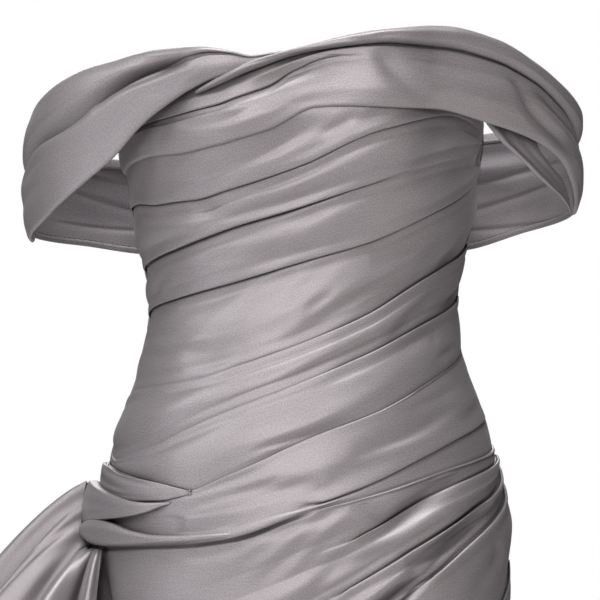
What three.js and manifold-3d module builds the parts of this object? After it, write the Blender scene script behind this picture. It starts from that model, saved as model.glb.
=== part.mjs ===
// An off-shoulder evening gown in draped satin, held in the shape it has when worn, hollow inside.
// Units are millimetres. +Z is up, the front faces -Y and +X is the wearer's left.
// The origin is the centre of the waist, where the wearer's body holds the gown up.
// Angles run round the body in degrees: 0 at the centre front, 90 at the wearer's left side seam,
// -90 at the right side seam and 180 at the centre back.
import * as THREE from "three";
import Module from "manifold-3d";

// Driving sizes of the cloth and its seams.
const CLOTH = 1.6; // wall of the satin with its underlining
const EXTRA_PLY = 1.4; // most that the cloth turned under a folded edge adds to the wall
const SIDE_SEAM = 0.06; // half the 0.3 mm gap at a side seam, as degrees round the body
const BACK_SEAM = 0.09; // the same at the centre back, where the body is nearer
const ARM_SEAM = 0.04; // the same out on the arms' loops
const SEAM_HEIGHT = 0.15; // half the gap where two pieces meet one above the other
const COLUMN_STEP = 6; // degrees between the columns of points round the body
const TUCK_STEP = 1.8; // height over which a tuck's folded edge drops back
const HEM_Z = -1060; // floor length, below the waist

// The gown's form inside the cloth, a row for each section from the top edge down.
const FORM_SECTIONS = [
  { z: 240, half: 146, front: 88, back: 78 },
  { z: 200, half: 149, front: 98, back: 84 },
  { z: 170, half: 150, front: 108, back: 88 },
  { z: 140, half: 147, front: 113, back: 90 },
  { z: 105, half: 142, front: 110, back: 90 },
  { z: 68, half: 136, front: 101, back: 87 },
  { z: 35, half: 128, front: 93, back: 83 },
  { z: 0, half: 124, front: 89, back: 81 },
  { z: -25, half: 126, front: 91, back: 83 },
  { z: -55, half: 134, front: 95, back: 89 },
  { z: -85, half: 145, front: 101, back: 98 },
  { z: -125, half: 156, front: 106, back: 110 },
  { z: -180, half: 165, front: 109, back: 118 },
  { z: -250, half: 165, front: 108, back: 117 },
  { z: -400, half: 162, front: 108, back: 115 },
  { z: -600, half: 166, front: 116, back: 126 },
  { z: -800, half: 184, front: 134, back: 152 },
  { z: -1060, half: 214, front: 164, back: 190 },
];
const FORM_ROUNDNESS = 2.25; // 2 is an ellipse, and more is squarer
const CUP = { angle: 31, spread: 24, z: 148, above: 34, below: 46, depth: 13 };
const CUP_TOP_Z = 150; // the neckline pieces stand straight up above this

// The loop that the shoulder bands follow, seen from above.
// Its front and back halves meet at the arm seam's angle.
const LOOP = { half: 224, front: 117, back: 93, roundness: 2.1, clear: 5, blend: 3, armSeam: 92 };

// Lines across the front, as heights at these angles, and lifts of each line's folded edge.
const STATIONS = [-90, -75, -60, -45, -30, 0, 30, 60, 90];
const LIFT_STATIONS = [-90, -45, 0, 45, 90];
const FRONT_LINES = {
  hip: { at: [-124, -134, -146, -157, -145, -118, -95, -60, -28] },
  tuck5: { at: [-115, -127, -119, -105, -92, -71, -47, -16, 12], lift: [0.6, 2, 3, 3, 2.4] },
  tuck4: { at: [-74, -70, -69, -65, -57, -39, -16, 21, 55], lift: [1, 1.6, 2.6, 3.4, 3] },
  tuck3: { at: [-4, -1, 2, 7, 13, 27, 43, 76, 118], lift: [2.6, 3.4, 3.4, 3, 1.6] },
  tuck2: { at: [34, 36, 40, 47, 55, 70, 90, 115, 132], lift: [3, 3.6, 3.6, 0.6, 0] },
  tuck1: { at: [84, 83, 78, 78, 84, 102, 131, 148, 141], lift: [2, 3.4, 3.4, 2, 0] },
  tuck0: { at: [111, 112, 113, 111, 115, 138, 145, 156, 146], lift: [3, 3.4, 2, 0, 0] },
  top: { at: [150, 151, 153, 158, 166, 174, 176, 165, 150] },
};
const SKIRT_LINES = {
  hem: { at: Array(9).fill(HEM_Z) },
  tuck12: { at: [-520, -518, -512, -500, -486, -438, -370, -285, -205], lift: [0, 0, 0, 1.4, 1] },
  tuck11: { at: [-400, -395, -388, -375, -355, -312, -262, -198, -142], lift: [0, 0, 1.4, 4.4, 3.4] },
  tuck10: { at: [-315, -312, -306, -298, -286, -255, -220, -175, -128], lift: [0, 0, 0, 4, 4] },
  tuck9: { at: [-255, -253, -250, -245, -236, -213, -186, -147, -119], lift: [0, 0, 0, 2.8, 3.6] },
  top: { at: [-198, -198, -199, -199, -196, -176, -159, -134, -111], lift: [0, 0, 0.4, 2.6, 3] },
};
// How far a strip between two tucks has risen, by its share of the strip's height.
const TUCK_PROFILE = [
  { share: 0, rise: 0 },
  { share: 0.55, rise: 0.55 },
  { share: 1, rise: 1 },
];

// Soft upright folds that open towards the hem, a row for each.
const SKIRT_FOLDS = [
  { angle: -74, width: 9, depth: 12 },
  { angle: -48, width: 11, depth: 16 },
  { angle: -20, width: 12, depth: 13 },
  { angle: 12, width: 12, depth: 20 },
  { angle: 40, width: 11, depth: 14 },
  { angle: 68, width: 10, depth: 18 },
  { angle: 98, width: 10, depth: 15 },
  { angle: 124, width: 10, depth: 20 },
  { angle: 152, width: 10, depth: 16 },
  { angle: 180, width: 10, depth: 20 },
  { angle: 208, width: 10, depth: 15 },
  { angle: 236, width: 10, depth: 18 },
  { angle: 262, width: 9, depth: 12 },
];
const FOLDS_START_Z = -330;

// The wrap round the hips, between the bodice's lower line and the skirt's upper line: its inner
// tuck, how far the tuck, the two edges and the cloth above the tuck stand off, for each angle.
const SASH = [
  { angle: -90, tuck: -188, low: 0, edge: 0, rise: 0 },
  { angle: -60, tuck: -188, low: 0, edge: 0, rise: 0 },
  { angle: -48, tuck: -189, low: 0, edge: 0, rise: 0 },
  { angle: -42, tuck: -190, low: 3, edge: 3.6, rise: 3 },
  { angle: -30, tuck: -188, low: 4, edge: 4.6, rise: 4 },
  { angle: 0, tuck: -168, low: 3, edge: 4, rise: 4.2 },
  { angle: 30, tuck: -149, low: 0.6, edge: 3.6, rise: 3.6 },
  { angle: 60, tuck: -113, low: 0, edge: 3.4, rise: 3 },
  { angle: 90, tuck: -88, low: 0, edge: 2.8, rise: 2.2 },
];
// The knot's wrapped folds over the wrap's end: lower and upper edge, and how far each stands off.
const KNOT_UPPER = [
  { angle: -90, low: -139, high: -124.5, stand: 3.5 },
  { angle: -75, low: -152, high: -134.5, stand: 4 },
  { angle: -60, low: -163, high: -147, stand: 4.4 },
  { angle: -48, low: -161, high: -156, stand: 3 },
];
const KNOT_OVER = [
  { angle: -84, low: -177, high: -143, stand: 13 },
  { angle: -75, low: -176.5, high: -152, stand: 9.5 },
  { angle: -60, low: -174, high: -163, stand: 7 },
  { angle: -48, low: -165, high: -161.5, stand: 4.5 },
];
const KNOT_UNDER = [
  { angle: -84, low: -193, high: -178, stand: 14 },
  { angle: -75, low: -197, high: -177.5, stand: 11 },
  { angle: -66, low: -198, high: -183, stand: 9 },
  { angle: -60, low: -198.5, high: -187.5, stand: 8 },
  { angle: -48, low: -198.5, high: -193, stand: 6.5 },
];

// The draped bust band, from the right side seam across the bust and round the left arm.
const BUST_BAND = [
  { angle: -90, low: 113, tuck: 136, high: 149 },
  { angle: -75, low: 114, tuck: 139, high: 150 },
  { angle: -60, low: 115, tuck: 142, high: 154 },
  { angle: -45, low: 113, tuck: 144, high: 158 },
  { angle: -30, low: 117, tuck: 149, high: 162 },
  { angle: -24, low: 122, tuck: 155, high: 168 },
  { angle: -12, low: 132, tuck: 168, high: 180.5 },
  { angle: 0, low: 140, tuck: 181, high: 189 },
  { angle: 12, low: 147, tuck: 188, high: 194 },
  { angle: 30, low: 148, tuck: 190, high: 198 },
  { angle: 45, low: 147, tuck: 190, high: 198 },
  { angle: 60, low: 141, tuck: 183, high: 190 },
  { angle: 70, low: 126, tuck: 169, high: 176 },
  { angle: 78, low: 99, tuck: 150, high: 160 },
  { angle: 84, low: 86, tuck: 136, high: 147 },
  { angle: 92, low: 81, tuck: 124, high: 134 },
];
const BUST_TUCK_LIFT = [2, 3, 1.2, 0, 0];
// The folded neck roll that runs on above it.
const NECK_ROLL = [
  { angle: -36, low: 158, high: 161, puff: 2 },
  { angle: -30, low: 163, high: 169, puff: 4 },
  { angle: -18, low: 175.5, high: 184, puff: 6 },
  { angle: 0, low: 190, high: 196, puff: 5 },
  { angle: 18, low: 196, high: 206, puff: 6 },
  { angle: 30, low: 198.8, high: 211, puff: 7 },
  { angle: 48, low: 198, high: 217, puff: 8 },
  { angle: 60, low: 191, high: 210, puff: 8 },
  { angle: 70, low: 177, high: 195, puff: 8 },
  { angle: 78, low: 161, high: 181, puff: 8 },
  { angle: 84, low: 148, high: 173, puff: 8 },
  { angle: 92, low: 135, high: 166, puff: 6 },
];
// The right arm's band: lower edge, the crease between its two folds, and upper edge.
const RIGHT_BAND = [
  { angle: -92, low: 62, crease: 98, high: 144, stand: 0 },
  { angle: -84, low: 63.5, crease: 113, high: 163, stand: 1 },
  { angle: -78, low: 69, crease: 126, high: 172, stand: 2 },
  { angle: -72, low: 81, crease: 134, high: 180, stand: 3 },
  { angle: -66, low: 94, crease: 146, high: 187, stand: 2 },
  { angle: -60, low: 107, crease: 161, high: 191, stand: 1 },
  { angle: -54, low: 129, crease: 172, high: 195, stand: 2 },
  { angle: -48, low: 144, crease: 178, high: 197, stand: 4 },
  { angle: -42, low: 154, crease: 181.5, high: 197, stand: 5 },
  { angle: -36, low: 162, crease: 184, high: 197, stand: 5 },
  { angle: -30, low: 170.4, crease: 186, high: 194.5, stand: 4 },
  { angle: -24, low: 178.5, crease: 187, high: 191, stand: 3 },
  { angle: -18, low: 185.2, crease: 186.4, high: 187.6, stand: 2 },
];
const RIGHT_CREASE_LIFT = 3;
const BAND_PUFF = 6;
// The bands' back halves, from the arm to the centre back, by angle from the centre front.
const BACK_BAND_LEFT = [
  { angle: 92, low: 82, high: 164, puff: 6 },
  { angle: 105, low: 75, high: 163, puff: 6 },
  { angle: 120, low: 62, high: 161, puff: 6 },
  { angle: 150, low: 61, high: 154, puff: 4 },
  { angle: 180, low: 62, high: 150, puff: 1 },
];
const BACK_BAND_RIGHT = [
  { angle: -180, low: 62, high: 150, puff: 1 },
  { angle: -150, low: 60, high: 146, puff: 4 },
  { angle: -120, low: 59, high: 140, puff: 6 },
  { angle: -105, low: 63, high: 139, puff: 6 },
  { angle: -92, low: 63, high: 139, puff: 6 },
];
// The narrow stay inside the left arm's loop: middle height and distance inside the loop.
const ARM_STAY = [
  { angle: 48, middle: 170, inset: -3 },
  { angle: 56, middle: 158, inset: 8 },
  { angle: 66, middle: 141, inset: 13 },
  { angle: 76, middle: 118, inset: 9 },
  { angle: 86, middle: 95, inset: 1.9 },
];
const ARM_STAY_WIDTH = 17;

// The side drape that falls from the knot, a row for each ridge or hollow of its folds:
// where it starts on the hip, the way it runs seen from above (0 is to the wearer's right,
// 90 to the front) and how far out it reaches at the floor.
const DRAPE_FOLDS = [
  { from: -74.5, z: -199.5, out: 4, way: 80, reach: 110 },
  { from: -76.5, z: -199, out: 6.5, way: 70, reach: 175 },
  { from: -78.5, z: -198.5, out: 6, way: 55, reach: 125 },
  { from: -81, z: -197.5, out: 9, way: 44, reach: 330 },
  { from: -84.6, z: -194, out: 9, way: 30, reach: 250 },
  { from: -84.7, z: -180, out: 11, way: 14, reach: 400 },
  { from: -84.8, z: -161, out: 12, way: 2, reach: 330 },
  { from: -84.9, z: -142, out: 13, way: -8, reach: 415 },
  { from: -87.5, z: -147, out: 11, way: -24, reach: 320 },
  { from: -90, z: -159, out: 9.5, way: -40, reach: 400 },
  { from: -93, z: -171, out: 8, way: -56, reach: 270 },
  { from: -96, z: -183, out: 6.5, way: -70, reach: 330 },
  { from: -99, z: -194, out: 4, way: -86, reach: 230 },
];
const DRAPE_COLUMNS_PER_FOLD = 4;
const DRAPE_ROWS = 13;
const DRAPE_SPREAD = 1.4; // how early the folds run out sideways
const DRAPE_FALL = 1.35; // how late they turn down
const DRAPE_START = 0.004; // share of the fall at which the cloth starts beside the knot

// The back bodice: heights at these angles from a side seam (0) to the centre back (90).
const BACK_STATIONS = [0, 30, 60, 90];
const BACK_LIFT = 2.2;
const BACK_LINES_LEFT = [
  { at: [-114, -128, -134, -136], lift: 0 },
  { at: [-62, -82, -92, -95], lift: 1 },
  { at: [-8, -30, -42, -46], lift: 1 },
  { at: [44, 22, 8, 4], lift: 1 },
  { at: [98, 78, 62, 56], lift: 1 },
  { at: [149, 141, 137, 136], lift: 0 },
];
const BACK_LINES_RIGHT = [
  { at: [-150, -142, -138, -136], lift: 0 },
  { at: [-92, -94, -95, -95], lift: 1 },
  { at: [-40, -44, -46, -46], lift: 1 },
  { at: [12, 6, 4, 4], lift: 1 },
  { at: [66, 58, 56, 56], lift: 1 },
  { at: [149, 133, 132, 134], lift: 0 },
];
const BACK_SKIRT_ROWS = 12;

// The concealed zip's slider and its pull, at the top of the centre back.
const ZIP = {
  z: 132, // height of the pull's pivot
  width: 7.6,
  height: 9,
  plate: 1.6,
  gap: 0.35,
  earWidth: 1,
  earReach: 3.2,
  earHeight: 4.4,
  pinRadius: 0.55,
  pinSides: 12,
};
const PULL = { width: 4.6, length: 21, plate: 1.2, eyeOuter: 1.3, eyeInner: 0.8, eyeSides: 16 };

const radians = THREE.MathUtils.degToRad;
const mix = THREE.MathUtils.lerp;

/** A smooth curve through (x, y) pairs in rising x that makes no bumps of its own. */
function smoothThrough(xs, ys) {
  const slope = xs.slice(1).map((x, i) => (ys[i + 1] - ys[i]) / (x - xs[i]));
  const tangent = xs.map((_, i) => {
    if (i === 0) return slope[0];
    if (i === xs.length - 1) return slope[i - 1];
    const [a, b] = [slope[i - 1], slope[i]];
    return a * b <= 0 ? 0 : (2 * a * b) / (a + b);
  });
  return (x) => {
    const t = THREE.MathUtils.clamp(x, xs[0], xs.at(-1));
    let i = 0;
    while (i < xs.length - 2 && t > xs[i + 1]) i += 1;
    const width = xs[i + 1] - xs[i];
    const s = (t - xs[i]) / width;
    const near = (1 + 2 * s) * (1 - s) ** 2 * ys[i] + s * (1 - s) ** 2 * width * tangent[i];
    return near + s * s * (3 - 2 * s) * ys[i + 1] + s * s * (s - 1) * width * tangent[i + 1];
  };
}

/** One column of a table as a smooth function of another. */
const column = (rows, key, value) =>
  smoothThrough(
    rows.map((row) => row[key]),
    rows.map((row) => row[value]),
  );

const risingSections = [...FORM_SECTIONS].reverse();
const formHalf = column(risingSections, "z", "half");
const formFront = column(risingSections, "z", "front");
const formBack = column(risingSections, "z", "back");

/** The radius of a rounded oval of two half widths at an angle from the centre front. */
function ovalRadius(angle, half, depth, roundness) {
  const across = Math.abs(Math.sin(radians(angle))) / half;
  const along = Math.abs(Math.cos(radians(angle))) / depth;
  return (across ** roundness + along ** roundness) ** (-1 / roundness);
}

/** The inside of the gown at an angle and height, cups included. */
function formRadius(angle, z) {
  const depth = Math.cos(radians(angle)) > 0 ? formFront(z) : formBack(z);
  const oval = ovalRadius(angle, formHalf(z), depth, FORM_ROUNDNESS);
  const reach = z > CUP.z ? CUP.above : CUP.below;
  const turn = THREE.MathUtils.euclideanModulo(angle + 180, 360) - 180;
  const round = (side) => Math.exp(-(((turn - side * CUP.angle) / CUP.spread) ** 2));
  return oval + CUP.depth * Math.exp(-(((z - CUP.z) / reach) ** 2)) * (round(1) + round(-1));
}

/** The loop of the shoulder bands: it rides on the bust and the back, and swings out round the arms. */
function loopRadius(angle) {
  const depth = Math.cos(radians(angle)) > 0 ? LOOP.front : LOOP.back;
  const swing = ovalRadius(angle, LOOP.half, depth, LOOP.roundness);
  const body = formRadius(angle, CUP_TOP_Z) + LOOP.clear;
  const larger = Math.max(swing, body);
  const gap = Math.abs(swing - body);
  return larger + LOOP.blend * Math.log(1 + Math.exp(-gap / LOOP.blend));
}

const place = (angle, z, radius) =>
  new THREE.Vector3(radius * Math.sin(radians(angle)), -radius * Math.cos(radians(angle)), z);

/** Column angles from one end to the other, on the common grid between them. */
function columnsBetween(from, to) {
  const inner = [];
  for (let a = Math.ceil((from + 1) / COLUMN_STEP) * COLUMN_STEP; a < to - 1; a += COLUMN_STEP) inner.push(a);
  return [from, ...inner, to];
}

/** A closed wall between two grids of points, outside[i][j] and inside[i][j], i across and j up. */
function wallBetween(outside, inside) {
  const across = outside.length;
  const up = outside[0].length;
  const at = (side, i, j) => (side * across + i) * up + j;
  const faces = [];
  const quad = (a, b, c, d) => faces.push(a, b, c, a, c, d);
  for (let i = 0; i < across - 1; i += 1) {
    for (let j = 0; j < up - 1; j += 1) {
      quad(at(0, i, j), at(0, i + 1, j), at(0, i + 1, j + 1), at(0, i, j + 1));
      quad(at(1, i, j), at(1, i, j + 1), at(1, i + 1, j + 1), at(1, i + 1, j));
    }
    quad(at(1, i, 0), at(1, i + 1, 0), at(0, i + 1, 0), at(0, i, 0));
    quad(at(0, i, up - 1), at(0, i + 1, up - 1), at(1, i + 1, up - 1), at(1, i, up - 1));
  }
  for (let j = 0; j < up - 1; j += 1) {
    quad(at(0, 0, j), at(0, 0, j + 1), at(1, 0, j + 1), at(1, 0, j));
    const end = across - 1;
    quad(at(0, end, j + 1), at(0, end, j), at(1, end, j), at(1, end, j + 1));
  }
  const points = [...outside.flat(), ...inside.flat()].flatMap((p) => p.toArray());
  const geometry = new THREE.BufferGeometry();
  geometry.setAttribute("position", new THREE.Float32BufferAttribute(points, 3));
  geometry.setIndex(faces);
  return geometry;
}

/** A wall round the body: section(angle) gives its rows from the bottom up as { z, outer, inner }. */
function bodyWall(angles, section) {
  const sections = angles.map((angle) => section(angle).map((row) => ({ angle, ...row })));
  return wallBetween(
    sections.map((rows) => rows.map((row) => place(row.angle, row.z, row.outer))),
    sections.map((rows) => rows.map((row) => place(row.angle, row.z, row.inner))),
  );
}

const lineHeight = (line, stations) => smoothThrough(stations, line.at);
const lineLift = (line) => smoothThrough(LIFT_STATIONS, line.lift ?? LIFT_STATIONS.map(() => 0));

/** The inside and outside of the cloth where it lies off the form by a lift. */
function clothAt(base, lift) {
  return { inner: base + Math.max(0, lift - EXTRA_PLY), outer: base + CLOTH + lift };
}

/** Rows of a panel made of strips: each strip rises to its folded top edge and drops back to the next. */
function tuckedRows(lines, { plainRows = {} } = {}) {
  const made = lines.map((line) => ({
    height: lineHeight(line, STATIONS),
    lift: lineLift(line),
    name: line.name,
  }));
  return (angle) =>
    made.slice(1).flatMap((upper, k) => {
      const lower = made[k];
      const step = k > 0 ? TUCK_STEP : SEAM_HEIGHT;
      const bottom = lower.height(angle) + step;
      const last = k === made.length - 2;
      const top = upper.height(angle) - (last ? SEAM_HEIGHT : 0);
      const plain = plainRows[upper.name];
      const profile = plain
        ? Array.from({ length: plain }, (_, n) => ({ share: n / (plain - 1), rise: (n / (plain - 1)) ** 6 }))
        : TUCK_PROFILE;
      return profile.map(({ share, rise }) => ({
        z: mix(bottom, top, share),
        lift: rise * upper.lift(angle),
      }));
    });
}

/** Names each line of a table, so that a strip can be looked up by its upper line. */
const named = (table) => Object.entries(table).map(([name, line]) => ({ name, ...line }));

/** How far the skirt's upright folds stand out at an angle and height. */
function skirtFold(angle, z) {
  const share = THREE.MathUtils.smoothstep(FOLDS_START_Z - z, 0, FOLDS_START_Z - HEM_Z);
  return SKIRT_FOLDS.reduce((sum, fold) => {
    const away = THREE.MathUtils.euclideanModulo(angle - fold.angle + 180, 360) - 180;
    return sum + share * fold.depth * Math.exp(-((away / fold.width) ** 2));
  }, 0);
}

const frontAngles = columnsBetween(-90 + SIDE_SEAM, 90 - SIDE_SEAM);

function bodiceFront() {
  const rows = tuckedRows(named(FRONT_LINES));
  return bodyWall(frontAngles, (angle) =>
    rows(angle).map(({ z, lift }) => ({ z, ...clothAt(formRadius(angle, z), lift) })),
  );
}

function skirtFront() {
  const rows = tuckedRows(named(SKIRT_LINES), { plainRows: { tuck12: 9 } });
  return bodyWall(frontAngles, (angle) =>
    rows(angle).map(({ z, lift }) => {
      const level = Math.max(z, HEM_Z);
      return { z: level, ...clothAt(formRadius(angle, level) + skirtFold(angle, level), lift) };
    }),
  );
}

/** One half of the back bodice, from a side seam to the centre back. */
function bodiceBack(lines, side) {
  const made = lines.map((line) => ({ height: smoothThrough(BACK_STATIONS, line.at), lift: line.lift }));
  const section = (angle) => {
    const round = Math.abs(angle) - 90;
    return made.slice(1).flatMap((upper, k) => {
      const bottom = made[k].height(round) + (k > 0 ? TUCK_STEP : SEAM_HEIGHT);
      return [0, 1].map((rise) => {
        const z = mix(bottom, upper.height(round), rise);
        return { z, ...clothAt(formRadius(angle, z), BACK_LIFT * rise * upper.lift) };
      });
    });
  };
  const angles = columnsBetween(90 + SIDE_SEAM, 180 - BACK_SEAM);
  return bodyWall(side > 0 ? angles : angles.map((a) => -a).reverse(), section);
}

/** The back skirt, in one piece from side seam to side seam. */
function skirtBack() {
  const left = smoothThrough(BACK_STATIONS, BACK_LINES_LEFT[0].at);
  const right = smoothThrough(BACK_STATIONS, BACK_LINES_RIGHT[0].at);
  const seam = (angle) => (angle < 180 ? left(angle - 90) : right(270 - angle)) - SEAM_HEIGHT;
  const angles = columnsBetween(90 + SIDE_SEAM, 270 - SIDE_SEAM);
  return bodyWall(angles, (angle) =>
    Array.from({ length: BACK_SKIRT_ROWS + 1 }, (_, n) => {
      const z = mix(HEM_Z, seam(angle), n / BACK_SKIRT_ROWS);
      const inner = formRadius(angle, z) + skirtFold(angle, z);
      return { z, inner, outer: inner + CLOTH };
    }),
  );
}

const hipLine = lineHeight(FRONT_LINES.hip, STATIONS);
const skirtLine = lineHeight(SKIRT_LINES.top, STATIONS);

/** The wrap round the front of the hips, from side seam to side seam, flat under the knot. */
function hipSash() {
  const [tuck, low, edge, rise] = ["tuck", "low", "edge", "rise"].map((value) => column(SASH, "angle", value));
  return bodyWall(frontAngles, (angle) => {
    const top = hipLine(angle) - SEAM_HEIGHT;
    const rows = [
      { z: skirtLine(angle) + SEAM_HEIGHT, lift: low(angle) },
      { z: tuck(angle), lift: edge(angle) },
      { z: tuck(angle) + TUCK_STEP, lift: edge(angle) * 0.25 },
      { z: mix(tuck(angle), top, 0.5), lift: rise(angle) * 0.8 },
      { z: top, lift: rise(angle) },
    ];
    return rows.map(({ z, lift }) => ({ z, ...clothAt(formRadius(angle, z), lift) }));
  });
}

/** A wrapped fold of the knot, over the flat end of the wrap, nearer to it at both edges. */
function knotFold(table, { low: lowShare, high: highShare }) {
  const [low, high, stand] = ["low", "high", "stand"].map((value) => column(table, "angle", value));
  const profile = [
    { share: 0, out: lowShare },
    { share: 0.25, out: mix(lowShare, 1, 0.8) },
    { share: 0.65, out: 1 },
    { share: 0.9, out: mix(1, highShare, 0.5) },
    { share: 1, out: highShare },
  ];
  return bodyWall(columnsBetween(table[0].angle, table.at(-1).angle), (angle) =>
    profile.map(({ share, out }) => {
      const z = mix(low(angle) + SEAM_HEIGHT, high(angle) - SEAM_HEIGHT, share);
      return { z, ...clothAt(formRadius(angle, z) + CLOTH + SEAM_HEIGHT, stand(angle) * out) };
    }),
  );
}

/** The draped band across the bust: close to the body on the right, swinging out round the left arm. */
function bustBand() {
  const low = column(BUST_BAND, "angle", "low");
  const tuck = column(BUST_BAND, "angle", "tuck");
  const high = column(BUST_BAND, "angle", "high");
  const lift = smoothThrough(LIFT_STATIONS, BUST_TUCK_LIFT);
  return bodyWall(columnsBetween(-90 + SIDE_SEAM, LOOP.armSeam - ARM_SEAM), (angle) => {
    const swing = THREE.MathUtils.smoothstep(angle, 5, 48);
    const rows = [
      { z: low(angle) + SEAM_HEIGHT, puff: 0, fold: 0 },
      { z: mix(low(angle), tuck(angle), 0.3), puff: 0.8, fold: 0.3 },
      { z: mix(low(angle), tuck(angle), 0.7), puff: 0.9, fold: 0.7 },
      { z: tuck(angle), puff: 0.5, fold: 1 },
      { z: tuck(angle) + TUCK_STEP, puff: 0.45, fold: 0 },
      { z: high(angle) - SEAM_HEIGHT, puff: 0, fold: 0 },
    ];
    return rows.map(({ z, puff, fold }) => {
      const close = formRadius(angle, Math.min(z, CUP_TOP_Z)) + CLOTH + SEAM_HEIGHT;
      const base = mix(close, loopRadius(angle), swing) + BAND_PUFF * swing * puff;
      return { z, ...clothAt(base, lift(angle) * fold) };
    });
  });
}

/** The soft roll of cloth that edges the neck, from the crossing to the left arm. */
function neckRoll() {
  const low = column(NECK_ROLL, "angle", "low");
  const high = column(NECK_ROLL, "angle", "high");
  const puff = column(NECK_ROLL, "angle", "puff");
  const profile = [
    { share: 0, out: 0 },
    { share: 0.3, out: 0.9 },
    { share: 0.7, out: 0.8 },
    { share: 1, out: -0.4 },
  ];
  return bodyWall(columnsBetween(-36, LOOP.armSeam - ARM_SEAM), (angle) =>
    profile.map(({ share, out }) => {
      const z = mix(low(angle) + SEAM_HEIGHT, high(angle) - SEAM_HEIGHT, share);
      const inner = loopRadius(angle) + puff(angle) * out;
      return { z, inner, outer: inner + CLOTH };
    }),
  );
}

/** The right arm's band in two folds, from the crossing at the neck to the arm. */
function rightBand() {
  const low = column(RIGHT_BAND, "angle", "low");
  const crease = column(RIGHT_BAND, "angle", "crease");
  const high = column(RIGHT_BAND, "angle", "high");
  const stand = column(RIGHT_BAND, "angle", "stand");
  return bodyWall(columnsBetween(ARM_SEAM - LOOP.armSeam, -18), (angle) => {
    const room = THREE.MathUtils.clamp((high(angle) - low(angle)) / 30, 0, 1);
    const step = TUCK_STEP * Math.min(1, room);
    const middle = crease(angle);
    const rows = [
      { z: low(angle) + SEAM_HEIGHT, out: 0 },
      { z: mix(low(angle), middle, 0.3), out: BAND_PUFF * 0.8 },
      { z: mix(low(angle), middle, 0.7), out: BAND_PUFF },
      { z: middle - step / 3, out: BAND_PUFF * 0.6 + RIGHT_CREASE_LIFT },
      { z: middle + step / 3, out: BAND_PUFF * 0.1 },
      { z: mix(middle, high(angle), 0.4), out: BAND_PUFF },
      { z: mix(middle, high(angle), 0.75), out: BAND_PUFF * 0.7 },
      { z: high(angle) - SEAM_HEIGHT / 3, out: -BAND_PUFF * 0.5 },
    ];
    return rows.map(({ z, out }) => {
      const inner = loopRadius(angle) + stand(angle) + out * room;
      return { z, inner, outer: inner + CLOTH };
    });
  });
}

/** A back half of the shoulder bands. */
function backBand(table, from, to) {
  const [low, high, puff] = ["low", "high", "puff"].map((value) => column(table, "angle", value));
  const profile = [0, 0.3, 0.7, 1];
  return bodyWall(columnsBetween(from, to), (angle) =>
    profile.map((share) => {
      const z = mix(low(angle), high(angle), share);
      const inner = loopRadius(angle) + puff(angle) * Math.sin(Math.PI * share);
      return { z, inner, outer: inner + CLOTH };
    }),
  );
}

/** The narrow stay that crosses inside the left arm's loop. */
function armStay() {
  const middle = column(ARM_STAY, "angle", "middle");
  const inset = column(ARM_STAY, "angle", "inset");
  return bodyWall(columnsBetween(ARM_STAY[0].angle, ARM_STAY.at(-1).angle), (angle) =>
    [-0.5, 0, 0.5].map((share) => {
      const inner = loopRadius(angle) - inset(angle);
      return { z: middle(angle) + share * ARM_STAY_WIDTH, inner, outer: inner + CLOTH };
    }),
  );
}

/** A sheet of points made into a wall by moving each point half the cloth out and half in along its normal. */
function sheetWall(grid, thickness) {
  const normal = (i, j) => {
    const across = grid[Math.min(i + 1, grid.length - 1)][j].clone().sub(grid[Math.max(i - 1, 0)][j]);
    const up = grid[i][Math.min(j + 1, grid[i].length - 1)].clone().sub(grid[i][Math.max(j - 1, 0)]);
    return across.cross(up).normalize();
  };
  const moved = (share) =>
    grid.map((points, i) => points.map((p, j) => p.clone().addScaledVector(normal(i, j), share * thickness)));
  return wallBetween(moved(0.5), moved(-0.5));
}

/** The drape that falls from the knot in folds and sweeps out over the floor. */
function sideDrape() {
  const order = DRAPE_FOLDS.map((fold, n) => ({ n, ...fold }));
  const by = (value) => column(order, "n", value);
  const [from, startZ, out, way, reach] = ["from", "z", "out", "way", "reach"].map(by);
  const count = (order.length - 1) * DRAPE_COLUMNS_PER_FOLD;
  const grid = Array.from({ length: count + 1 }, (_, c) => {
    const n = c / DRAPE_COLUMNS_PER_FOLD;
    const start = place(from(n), startZ(n), formRadius(from(n), startZ(n)) + CLOTH + out(n));
    const heading = radians(way(n));
    return Array.from({ length: DRAPE_ROWS + 1 }, (_, r) => {
      const fall = mix(1, DRAPE_START, r / DRAPE_ROWS);
      const away = reach(n) * (1 - (1 - fall) ** DRAPE_SPREAD);
      return new THREE.Vector3(
        start.x - away * Math.cos(heading),
        start.y - away * Math.sin(heading),
        mix(start.z, HEM_Z, fall ** DRAPE_FALL),
      );
    });
  });
  return sheetWall(grid.reverse(), CLOTH);
}

const wasm = await Module();
wasm.setup();

/** A three.js geometry as a solid that can be joined and cut. */
function solidOf(geometry) {
  const plain = geometry.index ? geometry : geometry.clone();
  const position = plain.getAttribute("position");
  const keys = new Map();
  const points = [];
  const order = Array.from({ length: position.count }, (_, i) => {
    const p = [position.getX(i), position.getY(i), position.getZ(i)];
    const key = p.map((v) => v.toFixed(4)).join();
    if (!keys.has(key)) {
      keys.set(key, keys.size);
      points.push(...p);
    }
    return keys.get(key);
  });
  const corners = plain.index ? Array.from(plain.index.array) : order.map((_, i) => i);
  return new wasm.Manifold(
    new wasm.Mesh({
      numProp: 3,
      vertProperties: new Float32Array(points),
      triVerts: new Uint32Array(corners.map((c) => order[c])),
    }),
  );
}

/** A joined solid back as a geometry. */
function geometryOf(solid) {
  const mesh = solid.getMesh();
  const geometry = new THREE.BufferGeometry();
  geometry.setAttribute("position", new THREE.BufferAttribute(mesh.vertProperties, 3));
  geometry.setIndex(new THREE.BufferAttribute(mesh.triVerts, 1));
  return geometry;
}

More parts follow.
